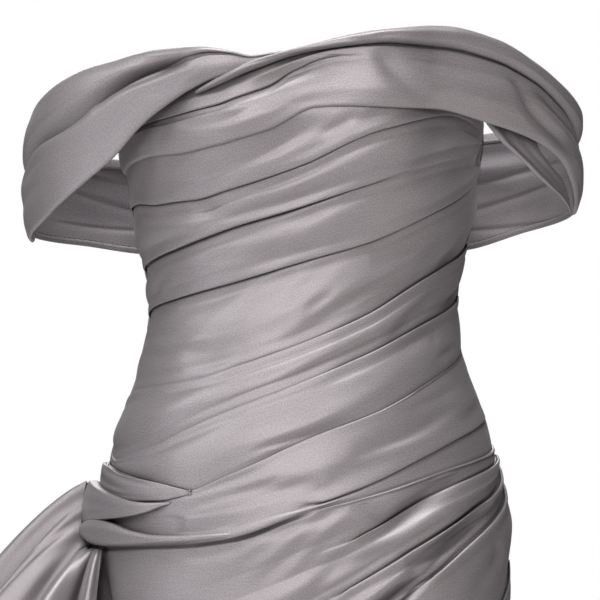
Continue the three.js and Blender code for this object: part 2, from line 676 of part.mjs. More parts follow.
// The zip's parts are made round their pivot and stand on the back bands at the centre back.
const backSurface = loopRadius(180) + CLOTH + BACK_BAND_LEFT.at(-1).puff;
const pivot = new THREE.Vector3(0, backSurface + ZIP.gap + ZIP.plate + ZIP.earReach / 2, ZIP.z);

function zipSlider() {
  const plate = new THREE.BoxGeometry(ZIP.width, ZIP.plate, ZIP.height);
  plate.translate(0, -ZIP.earReach / 2 - ZIP.plate / 2, 0);
  const overlap = 0.2;
  const ears = [-1, 1].map((side) => {
    const ear = new THREE.BoxGeometry(ZIP.earWidth, ZIP.earReach + overlap, ZIP.earHeight);
    ear.translate((side * (ZIP.width - ZIP.earWidth)) / 2, -overlap / 2, 0);
    return ear;
  });
  const pin = new THREE.CylinderGeometry(ZIP.pinRadius, ZIP.pinRadius, ZIP.width - ZIP.earWidth, ZIP.pinSides);
  pin.rotateZ(Math.PI / 2);
  const joined = [...ears, pin].reduce((solid, piece) => solid.add(solidOf(piece)), solidOf(plate));
  return geometryOf(joined);
}

/** The pull: a flat tab with an eye round the slider's pin, hanging straight down. */
function zipPull() {
  const half = PULL.plate / 2;
  const turn = Math.asin(half / PULL.eyeOuter);
  const side = new THREE.Shape();
  side.absarc(0, 0, PULL.eyeOuter, -Math.PI / 2 + turn, 1.5 * Math.PI - turn, false);
  side.lineTo(-half, -PULL.length);
  side.lineTo(half, -PULL.length);
  side.closePath();
  const eye = new THREE.Path();
  eye.absarc(0, 0, PULL.eyeInner, 0, 2 * Math.PI, true);
  side.holes.push(eye);
  const tab = new THREE.ExtrudeGeometry(side, {
    depth: PULL.width,
    bevelEnabled: false,
    curveSegments: PULL.eyeSides,
  });
  tab.translate(0, 0, -PULL.width / 2);
  // The shape's x becomes the way out from the back, and its y stays up.
  tab.applyMatrix4(new THREE.Matrix4().set(0, 0, 1, 0, 1, 0, 0, 0, 0, 1, 0, 0, 0, 0, 0, 1));
  return tab;
}

const satin = () => new THREE.MeshStandardMaterial({ color: 0x9c9595, roughness: 0.42, metalness: 0 });
const nickel = () => new THREE.MeshStandardMaterial({ color: 0xa9a6a6, roughness: 0.3, metalness: 0.9 });

const gown = new THREE.Group();
gown.name = "draped_gown";

function add(name, geometry, material = satin()) {
  const mesh = new THREE.Mesh(geometry, material);
  mesh.name = name;
  gown.add(mesh);
  return mesh;
}

add("bodice_front", bodiceFront());
add("bodice_back_left", bodiceBack(BACK_LINES_LEFT, 1));
add("bodice_back_right", bodiceBack(BACK_LINES_RIGHT, -1));
add("skirt_front", skirtFront());
add("skirt_back", skirtBack());
add("hip_sash", hipSash());
add("knot_upper_fold", knotFold(KNOT_UPPER, { low: 0.3, high: 1 }));
add("knot_over_fold", knotFold(KNOT_OVER, { low: 0.7, high: 0.9 }));
add("knot_under_roll", knotFold(KNOT_UNDER, { low: 0.3, high: 0.7 }));
add("side_drape", sideDrape());
add("bust_band", bustBand());
add("neck_roll", neckRoll());
add("right_arm_band", rightBand());
add("back_band_left", backBand(BACK_BAND_LEFT, LOOP.armSeam + ARM_SEAM, 180 - BACK_SEAM));
add("back_band_right", backBand(BACK_BAND_RIGHT, BACK_SEAM - 180, -LOOP.armSeam - ARM_SEAM));
add("left_arm_stay", armStay());
add("zip_slider", zipSlider(), nickel()).position.copy(pivot);
add("zip_pull", zipPull(), nickel()).position.copy(pivot);

export default gown;
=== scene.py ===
"""The finished look of a draped off-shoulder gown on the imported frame.

It has the cloth with its folds, the sewing and the zip, the finishes, and the studio's camera and lights.
"""

import logging
import math
from dataclasses import dataclass
from enum import Enum
from typing import Callable, Sequence

import bpy
import numpy as np
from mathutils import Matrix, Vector
from mathutils.bvhtree import BVHTree


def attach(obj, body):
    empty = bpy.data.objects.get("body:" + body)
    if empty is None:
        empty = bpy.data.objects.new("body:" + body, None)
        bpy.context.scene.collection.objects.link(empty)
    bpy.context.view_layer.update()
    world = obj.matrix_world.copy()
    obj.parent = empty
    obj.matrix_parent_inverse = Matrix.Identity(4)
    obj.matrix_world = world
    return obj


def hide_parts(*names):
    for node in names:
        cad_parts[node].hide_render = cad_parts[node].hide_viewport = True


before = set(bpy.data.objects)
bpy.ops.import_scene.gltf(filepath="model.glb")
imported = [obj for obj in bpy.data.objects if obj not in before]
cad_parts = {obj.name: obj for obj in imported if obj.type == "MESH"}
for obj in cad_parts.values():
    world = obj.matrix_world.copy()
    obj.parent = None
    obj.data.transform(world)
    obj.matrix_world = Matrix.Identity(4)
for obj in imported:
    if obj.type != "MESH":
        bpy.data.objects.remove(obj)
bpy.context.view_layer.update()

Array = np.ndarray
Points = Sequence[tuple[float, float]]
Relief = Callable[[Array, Array], Array]
Table = Sequence[Sequence[float]]
Spot = tuple[float, float, float]
Color = tuple[float, float, float, float]

log = logging.getLogger("gown")

# Sizes are in millimetres, angles in degrees from the centre front towards the wearer's left.
MM = 0.001
CLOTH = 1.6  # the cloth of the solids, satin with its underlining
WALL = 1.0  # the thinner wall of the finished sheets
ROLLED_WALL = 0.9  # the wall of cloth that is rolled tightly
HEM_Z = -1060.0
SEAM = 0.25  # what a panel's edge stays short of its seam's line
BAND_SEAM = 0.06  # the share of the seam at the arms, in degrees
SIDE = 89.93  # the angle of a side seam, less its share of the seam
FACE_STEP = 1.1  # degrees between the columns of a large panel
ROUND_MM = 2.1  # millimetres round the body in a degree
TINY = 1e-4  # keeps a division from failing where two points meet
RIPPLES = 9  # waves in a piece's faint waviness
FULL_WAVE = 45.0  # the length of a wave of full height; shorter ones are lower
STATIONS = (-90, -75, -60, -45, -30, 0, 30, 60, 90)
LIFT_STATIONS = (-90, -45, 0, 45, 90)
BACK_STATIONS = (0, 30, 60, 90)
UPPER_PROUD = (0, 0, 0, 0, 0)  # the upper cloth's edge stands proud at every station

WHITE = (1, 1, 1, 1)

# The record's name for the body that everything sewn is put on.
GOWN = "gown"


class Held(Enum):
    """How a sheet of cloth is held."""

    HUNG = "hung"
    GATHERED = "gathered"
    FOLDED = "folded"


# ---------------------------------------------------------------- curves and the figure


def tangents(slope: Array) -> Array:
    """The slopes at a line's points, flat where it turns, so that the curve never swings past them.

    Args:
        slope: The slope of each stretch, along the first axis.

    Returns:
        The slope at each point, one more than there are stretches.
    """
    before, after = slope[:-1], slope[1:]
    same = before * after > 0
    inner = np.where(same, 2 * before * after / np.where(same, before + after, 1), 0)
    return np.concatenate([slope[:1], inner, slope[-1:]])


def bend(s: Array | float, low: Array, high: Array, leave: Array, arrive: Array) -> Array:
    """A smooth stretch between two points.

    Args:
        s: The share of the way along it.
        low: The value at its start.
        high: The value at its end.
        leave: The slope at its start, over the whole stretch.
        arrive: The slope at its end.

    Returns:
        The value there.
    """
    start = (1 + 2 * s) * (1 - s) ** 2 * low + s * (1 - s) ** 2 * leave
    return start + s * s * (3 - 2 * s) * high + s * s * (s - 1) * arrive


@dataclass(frozen=True)
class Curve:
    """A smooth curve through a table's points that never swings past them."""

    xs: Sequence[float]
    ys: Sequence[float]

    def __call__(self, at: Array | float) -> Array:
        """Reads the curve.

        Args:
            at: Where to read it; beyond the ends it keeps its end value.

        Returns:
            The curve's value at each place.
        """
        xs, ys = np.asarray(self.xs, float), np.asarray(self.ys, float)
        if len(xs) == 1:
            return np.full(np.shape(at), ys[0])
        tangent = tangents(np.diff(ys) / np.diff(xs))
        t = np.clip(at, xs[0], xs[-1])
        i = np.clip(np.searchsorted(xs, t, side="right") - 1, 0, len(xs) - 2)
        width = xs[i + 1] - xs[i]
        return bend((t - xs[i]) / width, ys[i], ys[i + 1], width * tangent[i], width * tangent[i + 1])


def table_curves(rows: Table) -> list[Curve]:
    """Makes a curve of each column of a table against its first column.

    Args:
        rows: The table's rows, the first value of each rising.

    Returns:
        One curve for each column after the first.
    """
    columns = list(zip(*rows))
    return [Curve(columns[0], column) for column in columns[1:]]


def mix(a: Array | float, b: Array | float, share: Array | float) -> Array:
    """The value a share of the way from a to b."""
    return a + (b - a) * share


def smoothstep(at: Array | float, start: float, end: float) -> Array:
    """Rises smoothly from 0 at start to 1 at end."""
    t = np.clip((at - start) / (end - start), 0, 1)
    return t * t * (3 - 2 * t)


def swell(away: Array) -> Array:
    """A soft hump: 1 in the middle, fading to 0 about two widths away."""
    return np.exp(-(away**2))


@dataclass(frozen=True)
class Figure:
    """The general figure inside the gown, and the loop of the shoulder bands round it.

    Each of sections holds a height, then the half width, the depth in front and the depth behind.
    """

    sections: Table = (
        (-1060, 214, 164, 190),
        (-800, 184, 134, 152),
        (-600, 166, 116, 126),
        (-400, 162, 108, 115),
        (-250, 165, 108, 117),
        (-180, 165, 109, 118),
        (-125, 156, 106, 110),
        (-85, 145, 101, 98),
        (-55, 134, 95, 89),
        (-25, 126, 91, 83),
        (0, 124, 89, 81),
        (35, 128, 93, 83),
        (68, 136, 101, 87),
        (105, 142, 110, 90),
        (140, 147, 113, 90),
        (170, 150, 108, 88),
        (200, 149, 98, 84),
        (240, 146, 88, 78),
    )
    roundness: float = 2.25
    cup_angle: float = 31
    cup_spread: float = 24
    cup_z: float = 148
    cup_above: float = 34
    cup_below: float = 46
    cup_depth: float = 13
    loop_half: float = 224
    loop_front: float = 117
    loop_back: float = 93
    loop_roundness: float = 2.1
    loop_clear: float = 5
    loop_blend: float = 3
    loop_z: float = 150

    @staticmethod
    def oval(angle: Array, half: Array | float, depth: Array | float, roundness: float) -> Array:
        """The radius of a rounded oval of two half widths.

        Args:
            angle: Turns from the centre front.
            half: Its half width from side to side.
            depth: Its half width from front to back.
            roundness: 2 for an ellipse, more for a squarer form.

        Returns:
            The radius at each angle.
        """
        across = np.abs(np.sin(np.radians(angle))) / half
        along = np.abs(np.cos(np.radians(angle))) / depth
        return (across**roundness + along**roundness) ** (-1 / roundness)

    def radius(self, angle: Array, z: Array | float) -> Array:
        """The inside of the gown, cups included.

        Args:
            angle: Turns from the centre front.
            z: Heights from the waist.

        Returns:
            The radius at each angle and height.
        """
        half, front, back = (curve(z) for curve in table_curves(self.sections))
        depth = np.where(np.cos(np.radians(angle)) > 0, front, back)
        reach = np.where(np.asarray(z) > self.cup_z, self.cup_above, self.cup_below)
        turn = np.mod(np.asarray(angle) + 180, 360) - 180
        cups = sum(swell((turn - side * self.cup_angle) / self.cup_spread) for side in (1, -1))
        rise = self.cup_depth * swell((z - self.cup_z) / reach)
        return self.oval(angle, half, depth, self.roundness) + rise * cups

    def loop(self, angle: Array) -> Array:
        """The loop of the bands: on the bust and back, and swinging out round the arms.

        Args:
            angle: Turns from the centre front.

        Returns:
            The radius at each angle.
        """
        depth = np.where(np.cos(np.radians(angle)) > 0, self.loop_front, self.loop_back)
        swing = self.oval(angle, self.loop_half, depth, self.loop_roundness)
        body = self.radius(angle, self.loop_z) + self.loop_clear
        gap = np.abs(swing - body)
        return np.maximum(swing, body) + self.loop_blend * np.log1p(np.exp(-gap / self.loop_blend))


FIGURE = Figure()


# ---------------------------------------------------------------- creases and rows


@dataclass(frozen=True)
class Crease:
    """One crease: a soft trough along a line, or a ridge where its depth is negative.

    points are angles and heights, and above and below its half widths on either side. end and taper shape
    how it fades at its ends, finer is how many stretches each part of its line is cut into, and reach the
    half widths beyond which it isn't felt.
    """

    points: Points
    depth: float
    above: float
    below: float
    end: float = 0.02
    taper: float = 0.85
    finer: int = 8
    reach: float = 3

    def relief(self, angle: Array, z: Array) -> Array:
        """How far the cloth goes in along this crease.

        Args:
            angle: The angle of each point.
            z: The height of each point.

        Returns:
            The depth at each point, with soft ends.
        """
        table = np.asarray(self.points, float) * (ROUND_MM, 1)
        along = np.concatenate(([0], np.cumsum(np.hypot(*np.diff(table, axis=0).T))))
        fine = np.linspace(0, along[-1], self.finer * (len(table) - 1) + 1)
        x, y = Curve(along, table[:, 0])(fine), Curve(along, table[:, 1])(fine)
        reach = self.reach * max(self.above, self.below)
        across = angle * ROUND_MM
        near = (across > x.min() - reach) & (across < x.max() + reach)
        near &= (z > y.min() - reach) & (z < y.max() + reach)
        result = np.zeros(np.shape(z))
        if not near.any():
            return result
        px, py = across[near][:, None], z[near][:, None]
        dx, dy = np.diff(x), np.diff(y)
        length = np.maximum(np.hypot(dx, dy), 1e-6)
        share = np.clip(((px - x[:-1]) * dx + (py - y[:-1]) * dy) / length**2, 0, 1)
        gone = np.hypot(px - x[:-1] - share * dx, py - y[:-1] - share * dy)
        best = gone.argmin(1)
        pick = np.arange(len(best))
        side = dx[best] * (py[:, 0] - y[best]) - dy[best] * (px[:, 0] - x[best])
        side = side * np.sign(x[-1] - x[0] or 1)
        width = np.where(side > 0, self.above, self.below)
        place = (fine[best] + share[pick, best] * length[best]) / along[-1]
        taper = np.sin(np.pi * np.clip(place, self.end, 1 - self.end)) ** self.taper
        result[near] = self.depth * taper * swell(gone[pick, best] / width)
        return result


def creased(creases: Sequence[Crease]) -> Relief:
    """Joins creases into one relief.

    Args:
        creases: The creases of one piece.

    Returns:
        A function of angle and height that gives how far the cloth stands out.
    """

    def relief(angle: Array, z: Array) -> Array:
        """The summed relief of the piece's creases."""
        return -sum((crease.relief(angle, z) for crease in creases), np.zeros(np.shape(z)))

    return relief


def ripple(angle: Array, z: Array, seed: int, tilt: float = 25, size: float = 0.28) -> Array:
    """A faint, uneven waviness that runs with the folds.

    Args:
        angle: The angle of each point.
        z: The height of each point.
        seed: Which pattern.
        tilt: The way that the waves run, above the level.
        size: Their height.

    Returns:
        How far each point stands out.
    """
    chance = np.random.RandomState(seed)
    total = np.zeros(np.shape(z))
    for _ in range(RIPPLES):
        heading = math.radians(tilt + chance.uniform(-16, 16))
        length = chance.uniform(15, 48)
        across = z * math.cos(heading) - angle * ROUND_MM * math.sin(heading)
        along = z * math.sin(heading) + angle * ROUND_MM * math.cos(heading)
        patch = 0.5 + 0.5 * np.sin(along / chance.uniform(18, 45) + chance.uniform(0, 6))
        wave = np.sin(2 * np.pi * across / length + chance.uniform(0, 6))
        total += patch * wave * size * length / FULL_WAVE
    return total


def softened(creases: Sequence[Crease], seed: int, tilt: float = 25, size: float = 0.28) -> Relief:
    """Joins a piece's creases and a faint waviness.

    Args:
        creases: The creases.
        seed: Which pattern the waviness has.
        tilt: The way that its waves run, above the level.
        size: Their height.

    Returns:
        A function of angle and height that gives how far the cloth stands out.
    """
    relief = creased(creases)
    return lambda angle, z: relief(angle, z) + ripple(angle, z, seed, tilt, size)


class Rows:
    """Rows of a panel from the bottom up: a height and a stand-off for each column, then made finer."""

    def __init__(self, columns: int) -> None:
        """Starts with no rows.

        Args:
            columns: How many columns each row has.
        """
        self.columns = columns
        self.z: list[Array] = []
        self.out: list[Array] = []
        self.steps: list[int] = []

    def add(self, z: Array | float, out: Array | float, steps: int = 1) -> None:
        """Adds a row.

        Args:
            z: Its heights.
            out: How far it stands off its base.
            steps: Into how many rows the stretch below it is cut.
        """
        self.z.append(np.broadcast_to(np.asarray(z, float), self.columns))
        self.out.append(np.broadcast_to(np.asarray(out, float), self.columns))
        self.steps.append(steps)

    def refined(self) -> tuple[Array, Array]:
        """Runs a smooth curve through the rows of each column.

        Returns:
            Heights and stand-offs, each as columns by rows.
        """
        line = np.stack([np.stack(self.z), np.stack(self.out)], 2)
        gaps = np.maximum(np.linalg.norm(np.diff(line, axis=0), axis=2), TINY)[..., None]
        tangent = tangents(np.diff(line, axis=0) / gaps)
        rows = [line[0]]
        for k, steps in enumerate(self.steps[1:]):
            leave, arrive = gaps[k] * tangent[k], gaps[k] * tangent[k + 1]
            rows += [bend(n / steps, line[k], line[k + 1], leave, arrive) for n in range(1, steps + 1)]
        result = np.stack(rows, 1)
        return result[..., 0], result[..., 1]


@dataclass(frozen=True)
class FoldEdge:
    """A knife tuck's edge in section, from below it to above it, where the upper cloth lies over the lower.

    offset is the height from the tuck's line, lift the share of the folded edge's stand, and pocket the
    share of the depth under it. stand and depth are these two in full, for a tuck whose own value is 1,
    and room is the share of the strips beside it that the edge may take.
    """

    offset: Sequence[float] = (
        *(-9, -6, -3.6, -1.8, -0.7, 0.2, 1.2, 1.9, 1.6),
        *(0.7, -0.15, -0.5, -0.42, 0.1, 1.2, 3.0, 5.6, 9),
    )
    lift: Sequence[float] = (
        *(0, 0, 0, 0, 0, 0, 0, 0.05, 0.3),
        *(0.36, 0.42, 0.6, 0.82, 0.97, 1.02, 1.0, 0.85, 0.6),
    )
    pocket: Sequence[float] = (0, 0.02, 0.1, 0.25, 0.5, 0.8, 1.0, 0.8, 0.2, 0, 0, 0, 0, 0, 0, 0, 0, 0)
    stand: float = 1.2
    depth: float = 1.7
    room: float = 0.42

    def rows(
        self, lower_proud: Array, strength: Array, below: Array, above: Array
    ) -> tuple[Array, Array, Array]:
        """Fits the edge to each column.

        Args:
            lower_proud: 1 where the lower cloth's edge stands proud, 0 where the upper one does.
            strength: 1 where the cloth laps over, 0 where the tuck has faded out.
            below: The height of the strip below, which the edge is kept short of.
            above: The height of the strip above.

        Returns:
            Offsets, lift shares and pocket shares, each as columns by rows.
        """
        p, q = np.asarray(lower_proud)[:, None], np.asarray(strength)[:, None]
        offset, lift, pocket = (np.asarray(v, float)[None] for v in (self.offset, self.lift, self.pocket))
        lapped = (1 - p) * offset - p * offset[:, ::-1]
        reach = self.offset[-1]
        blended = mix(np.linspace(-reach, reach, offset.shape[1])[None], lapped, q)
        fit = np.where(blended < 0, below[:, None], above[:, None]) * self.room / reach
        return (
            blended * np.minimum(1, fit),
            (1 - p) * lift + p * lift[:, ::-1],
            (1 - p) * pocket + p * pocket[:, ::-1],
        )


EDGE = FoldEdge()
USUAL_STRIP = 40.0  # the height between two tucks that swells by a panel's whole bulge
FULLNESS = 0.75  # below 1, a strip swells fuller towards its edges


@dataclass(frozen=True)
class Tuck:
    """A tuck's line round the panel, and the way its edge stands."""

    at: Sequence[float]
    stations: Sequence[float] = STATIONS
    lift: Sequence[float] = (0, 0, 0, 0, 0)
    pocket: Sequence[float] = (0, 0, 0, 0, 0)
    lower_proud: Sequence[float] = (1, 1, 1, 1, 1)

    def height(self, angle: Array) -> Array:
        """The line's height at each angle."""
        return Curve(self.stations, self.at)(angle)

    def read(self, values: Sequence[float], angle: Array) -> Array:
        """One of the edge's tables at each angle."""
        ends = np.linspace(self.stations[0], self.stations[-1], len(values))
        return Curve(tuple(ends), tuple(values))(angle)


def tucked(
    angle: Array, tucks: Sequence[Tuck], bulge: float, pitch: float, rows: Rows, last: float = 1.0
) -> None:
    """Adds the rows of a panel laid in tucks, from the first line to the last.

    Args:
        angle: The panel's columns.
        tucks: Its lines from the bottom up; the first and last are its ends.
        bulge: How far the middle of a strip of the usual height swells.
        pitch: The height between plain rows.
        rows: Where the rows go.
        last: The share of the swell that the top strip keeps.
    """
    heights = [tuck.height(angle) for tuck in tucks]
    last_out = np.zeros_like(angle)
    bottom = heights[0] + SEAM
    for k in range(1, len(tucks)):
        strip = np.maximum(heights[k] - heights[k - 1], 1)
        final = k == len(tucks) - 1
        if final:
            top, first_out = heights[k] - SEAM, np.zeros_like(angle)
        else:
            above = np.maximum(heights[k + 1] - heights[k], 1)
            tuck = tucks[k]
            stand, deep, proud = (tuck.read(v, angle) for v in (tuck.lift, tuck.pocket, tuck.lower_proud))
            strength = np.clip(stand / EDGE.stand, 0, 1)
            offset, lift, pocket = EDGE.rows(proud, strength, strip, above)
            out = EDGE.stand * lift * stand[:, None] - EDGE.depth * pocket * deep[:, None]
            top, first_out = heights[k] + offset[:, 0], out[:, 0]
        puffed = bulge * np.clip(strip / USUAL_STRIP, 0.1, 1.2) * (last if final else 1)
        steps = max(3, int(np.ceil((top - bottom).max() / pitch)))
        for n in range(1 if rows.z else 0, steps + 1):
            s = n / steps
            full = puffed * math.sin(math.pi * s) ** FULLNESS
            rows.add(mix(bottom, top, s), mix(last_out, first_out, s) + full)
        if not final:
            for j in range(1, offset.shape[1]):
                rows.add(heights[k] + offset[:, j], out[:, j])
            bottom, last_out = heights[k] + offset[:, -1], out[:, -1]


# ---------------------------------------------------------------- meshes


def place(angle: Array, z: Array, radius: Array) -> Array:
    """Points at angles, heights and radii."""
    turn = np.radians(angle)
    return np.stack([radius * np.sin(turn), -radius * np.cos(turn), z + 0 * turn], -1)


def grid_normals(points: Array, smooth: int = 1) -> Array:
    """Unit normals of a grid of points.

    Args:
        points: The grid, columns by rows.
        smooth: How often neighbours are averaged.

    Returns:
        A normal for each point, outward where columns run towards the wearer's left and rows up.
    """
    across, up = np.gradient(points, axis=0), np.gradient(points, axis=1)
    normal = np.cross(across, up)
    for _ in range(smooth):
        padded = np.pad(normal, ((1, 1), (1, 1), (0, 0)), mode="edge")
        width, height = normal.shape[:2]
        normal = sum(padded[i : i + width, j : j + height] for i in range(3) for j in range(3))
    return normal / np.maximum(np.linalg.norm(normal, axis=-1, keepdims=True), 1e-9)


def add_object(mesh: bpy.types.Mesh) -> bpy.types.Object:
    """Puts a mesh in the scene.

    Args:
        mesh: The mesh.

    Returns:
        The object, with the mesh's name.
    """
    thing = bpy.data.objects.new(mesh.name, mesh)
    bpy.context.collection.objects.link(thing)
    return thing


def solid_mesh(name: str, verts: Sequence[Spot], faces: Sequence[tuple[int, ...]]) -> bpy.types.Object:
    """Makes an object of many small solids.

    Args:
        name: Its name.
        verts: Its points in millimetres.
        faces: The places of each face's points.

    Returns:
        The mesh object.
    """
    mesh = bpy.data.meshes.new(name)
    mesh.from_pydata([tuple(float(c) * MM for c in v) for v in verts], [], list(faces))
    mesh.polygons.foreach_set("use_smooth", [True] * len(mesh.polygons))
    mesh.update()
    return add_object(mesh)


def shell(name: str, outside: Array, wall: float = WALL, inside: Array | None = None) -> bpy.types.Object:
    """Makes a closed thin shell of cloth from its outer face.

    Args:
        name: The piece's name.
        outside: The outer face's points in millimetres, columns by rows.
        wall: How thick the cloth is.
        inside: The inner face's points, where it isn't simply the outer one moved in.

    Returns:
        The mesh object, with its thread directions stored on its points.
    """
    if inside is None:
        inside = outside - grid_normals(outside) * wall
    across, up = outside.shape[:2]
    index = np.arange(across * up).reshape(across, up)
    a, b, c, d = index[:-1, :-1], index[1:, :-1], index[1:, 1:], index[:-1, 1:]
    face = np.stack([a, b, c, d], -1).reshape(-1, 4)
    back = face[:, ::-1] + across * up
    rim = []
    for edge in (index[:, 0], index[-1, :], index[::-1, -1], index[0, ::-1]):
        rim.append(np.stack([edge[1:], edge[:-1], edge[:-1] + across * up, edge[1:] + across * up], -1))
    faces = np.concatenate([face, back, *rim])
    points = np.concatenate([outside.reshape(-1, 3), inside.reshape(-1, 3)]) * MM
    steps = [np.linalg.norm(np.diff(outside, axis=axis), axis=-1) for axis in (0, 1)]
    none = np.zeros((across, up))
    u = np.concatenate([[0], np.cumsum(steps[0].mean(1))])[:, None] + none
    v = np.concatenate([none[:, :1], np.cumsum(steps[1], 1)], 1)
    thread = np.stack([u, v, none], -1).reshape(-1, 3) * MM
    mesh = bpy.data.meshes.new(name)
    mesh.vertices.add(len(points))
    mesh.vertices.foreach_set("co", points.astype(np.float32).ravel())
    mesh.loops.add(faces.size)
    mesh.loops.foreach_set("vertex_index", faces.astype(np.int32).ravel())
    mesh.polygons.add(len(faces))
    mesh.polygons.foreach_set("loop_start", np.arange(0, faces.size, 4, dtype=np.int32))
    mesh.polygons.foreach_set("loop_total", np.full(len(faces), 4, np.int32))
    mesh.polygons.foreach_set("use_smooth", np.ones(len(faces), bool))
    mesh.update(calc_edges=True)
    mesh.validate()
    store = mesh.attributes.new("thread", "FLOAT_VECTOR", "POINT")
    store.data.foreach_set("vector", np.concatenate([thread, thread]).astype(np.float32).ravel())
    return add_object(mesh)


@dataclass(frozen=True)
class Cut:
    """The flat size of the cloth that shows of a piece, in metres, and how it is held."""

    width: float
    length: float
    held: Held
    rests_on: Sequence[str]
    area: float | None = None


@dataclass
class Piece:
    """A finished piece of the gown: the solid that it stands for and its cut, where it has them."""

    thing: bpy.types.Object
    node: str | None = None
    cut: Cut | None = None

    def declare(self, finish: bpy.types.Material) -> None:
        """Puts the piece on its body in its finish.

        Args:
            finish: Its material.
        """
        thing, cut = self.thing, self.cut
        thing.data.materials.append(finish)
        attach(thing, GOWN)
        if self.node:
            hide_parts(self.node)
        log.info("%s: %d faces for %s", thing.name, len(thing.data.polygons), self.node or "its trim")


def columns(start: float, end: float, step: float) -> Array:
    """Evenly spaced column angles between two ends."""
    return np.linspace(start, end, int(round(abs(end - start) / step)) + 1)


def over_figure(away: float) -> Relief:
    """A base that lies a distance off the figure."""
    return lambda angle, z: FIGURE.radius(angle, z) + away


def over_loop(away: Callable[[Array], Array] | float) -> Relief:
    """A base that lies a distance off the bands' loop, which may change round it."""
    return lambda angle, z: FIGURE.loop(angle) + CLOTH + (away(angle) if callable(away) else away)


def wrapped(angle: Array, rows: Rows, base: Relief, relief: Relief) -> Array:
    """Lays rows on a base round the body.

    Args:
        angle: The columns.
        rows: The rows, each standing off the base.
        base: The radius that they stand off.
        relief: What creases add.

    Returns:
        The outer face's points, columns by rows.
    """
    z, out = rows.refined()
    turn = np.broadcast_to(angle[:, None], z.shape)
    return place(turn, z, base(turn, z) + out + relief(turn, z))


def lapped_shell(
    name: str, angle: Array, rows: Rows, base: Relief, relief: Relief, flip: bool = False
) -> bpy.types.Object:
    """Makes a panel whose outer face laps over itself at its tucks.

    The inner face runs smoothly behind them.

    Args:
        name: The piece's name.
        angle: The columns.
        rows: The rows, each standing off the base.
        base: The radius that they stand off.
        relief: What creases add.
        flip: True where the columns run the other way round.

    Returns:
        The mesh object.
    """
    outside = wrapped(angle, rows, base, relief)
    z, out = rows.refined()
    turn = np.broadcast_to(angle[:, None], z.shape)
    level = np.maximum.accumulate(z, axis=1)
    inside = place(turn, level, base(turn, level) + np.minimum(out, 0) + relief(turn, level) - WALL)
    if flip:
        outside, inside = outside[::-1], inside[::-1]
    return shell(name, outside, WALL, inside)


# ---------------------------------------------------------------- bodice


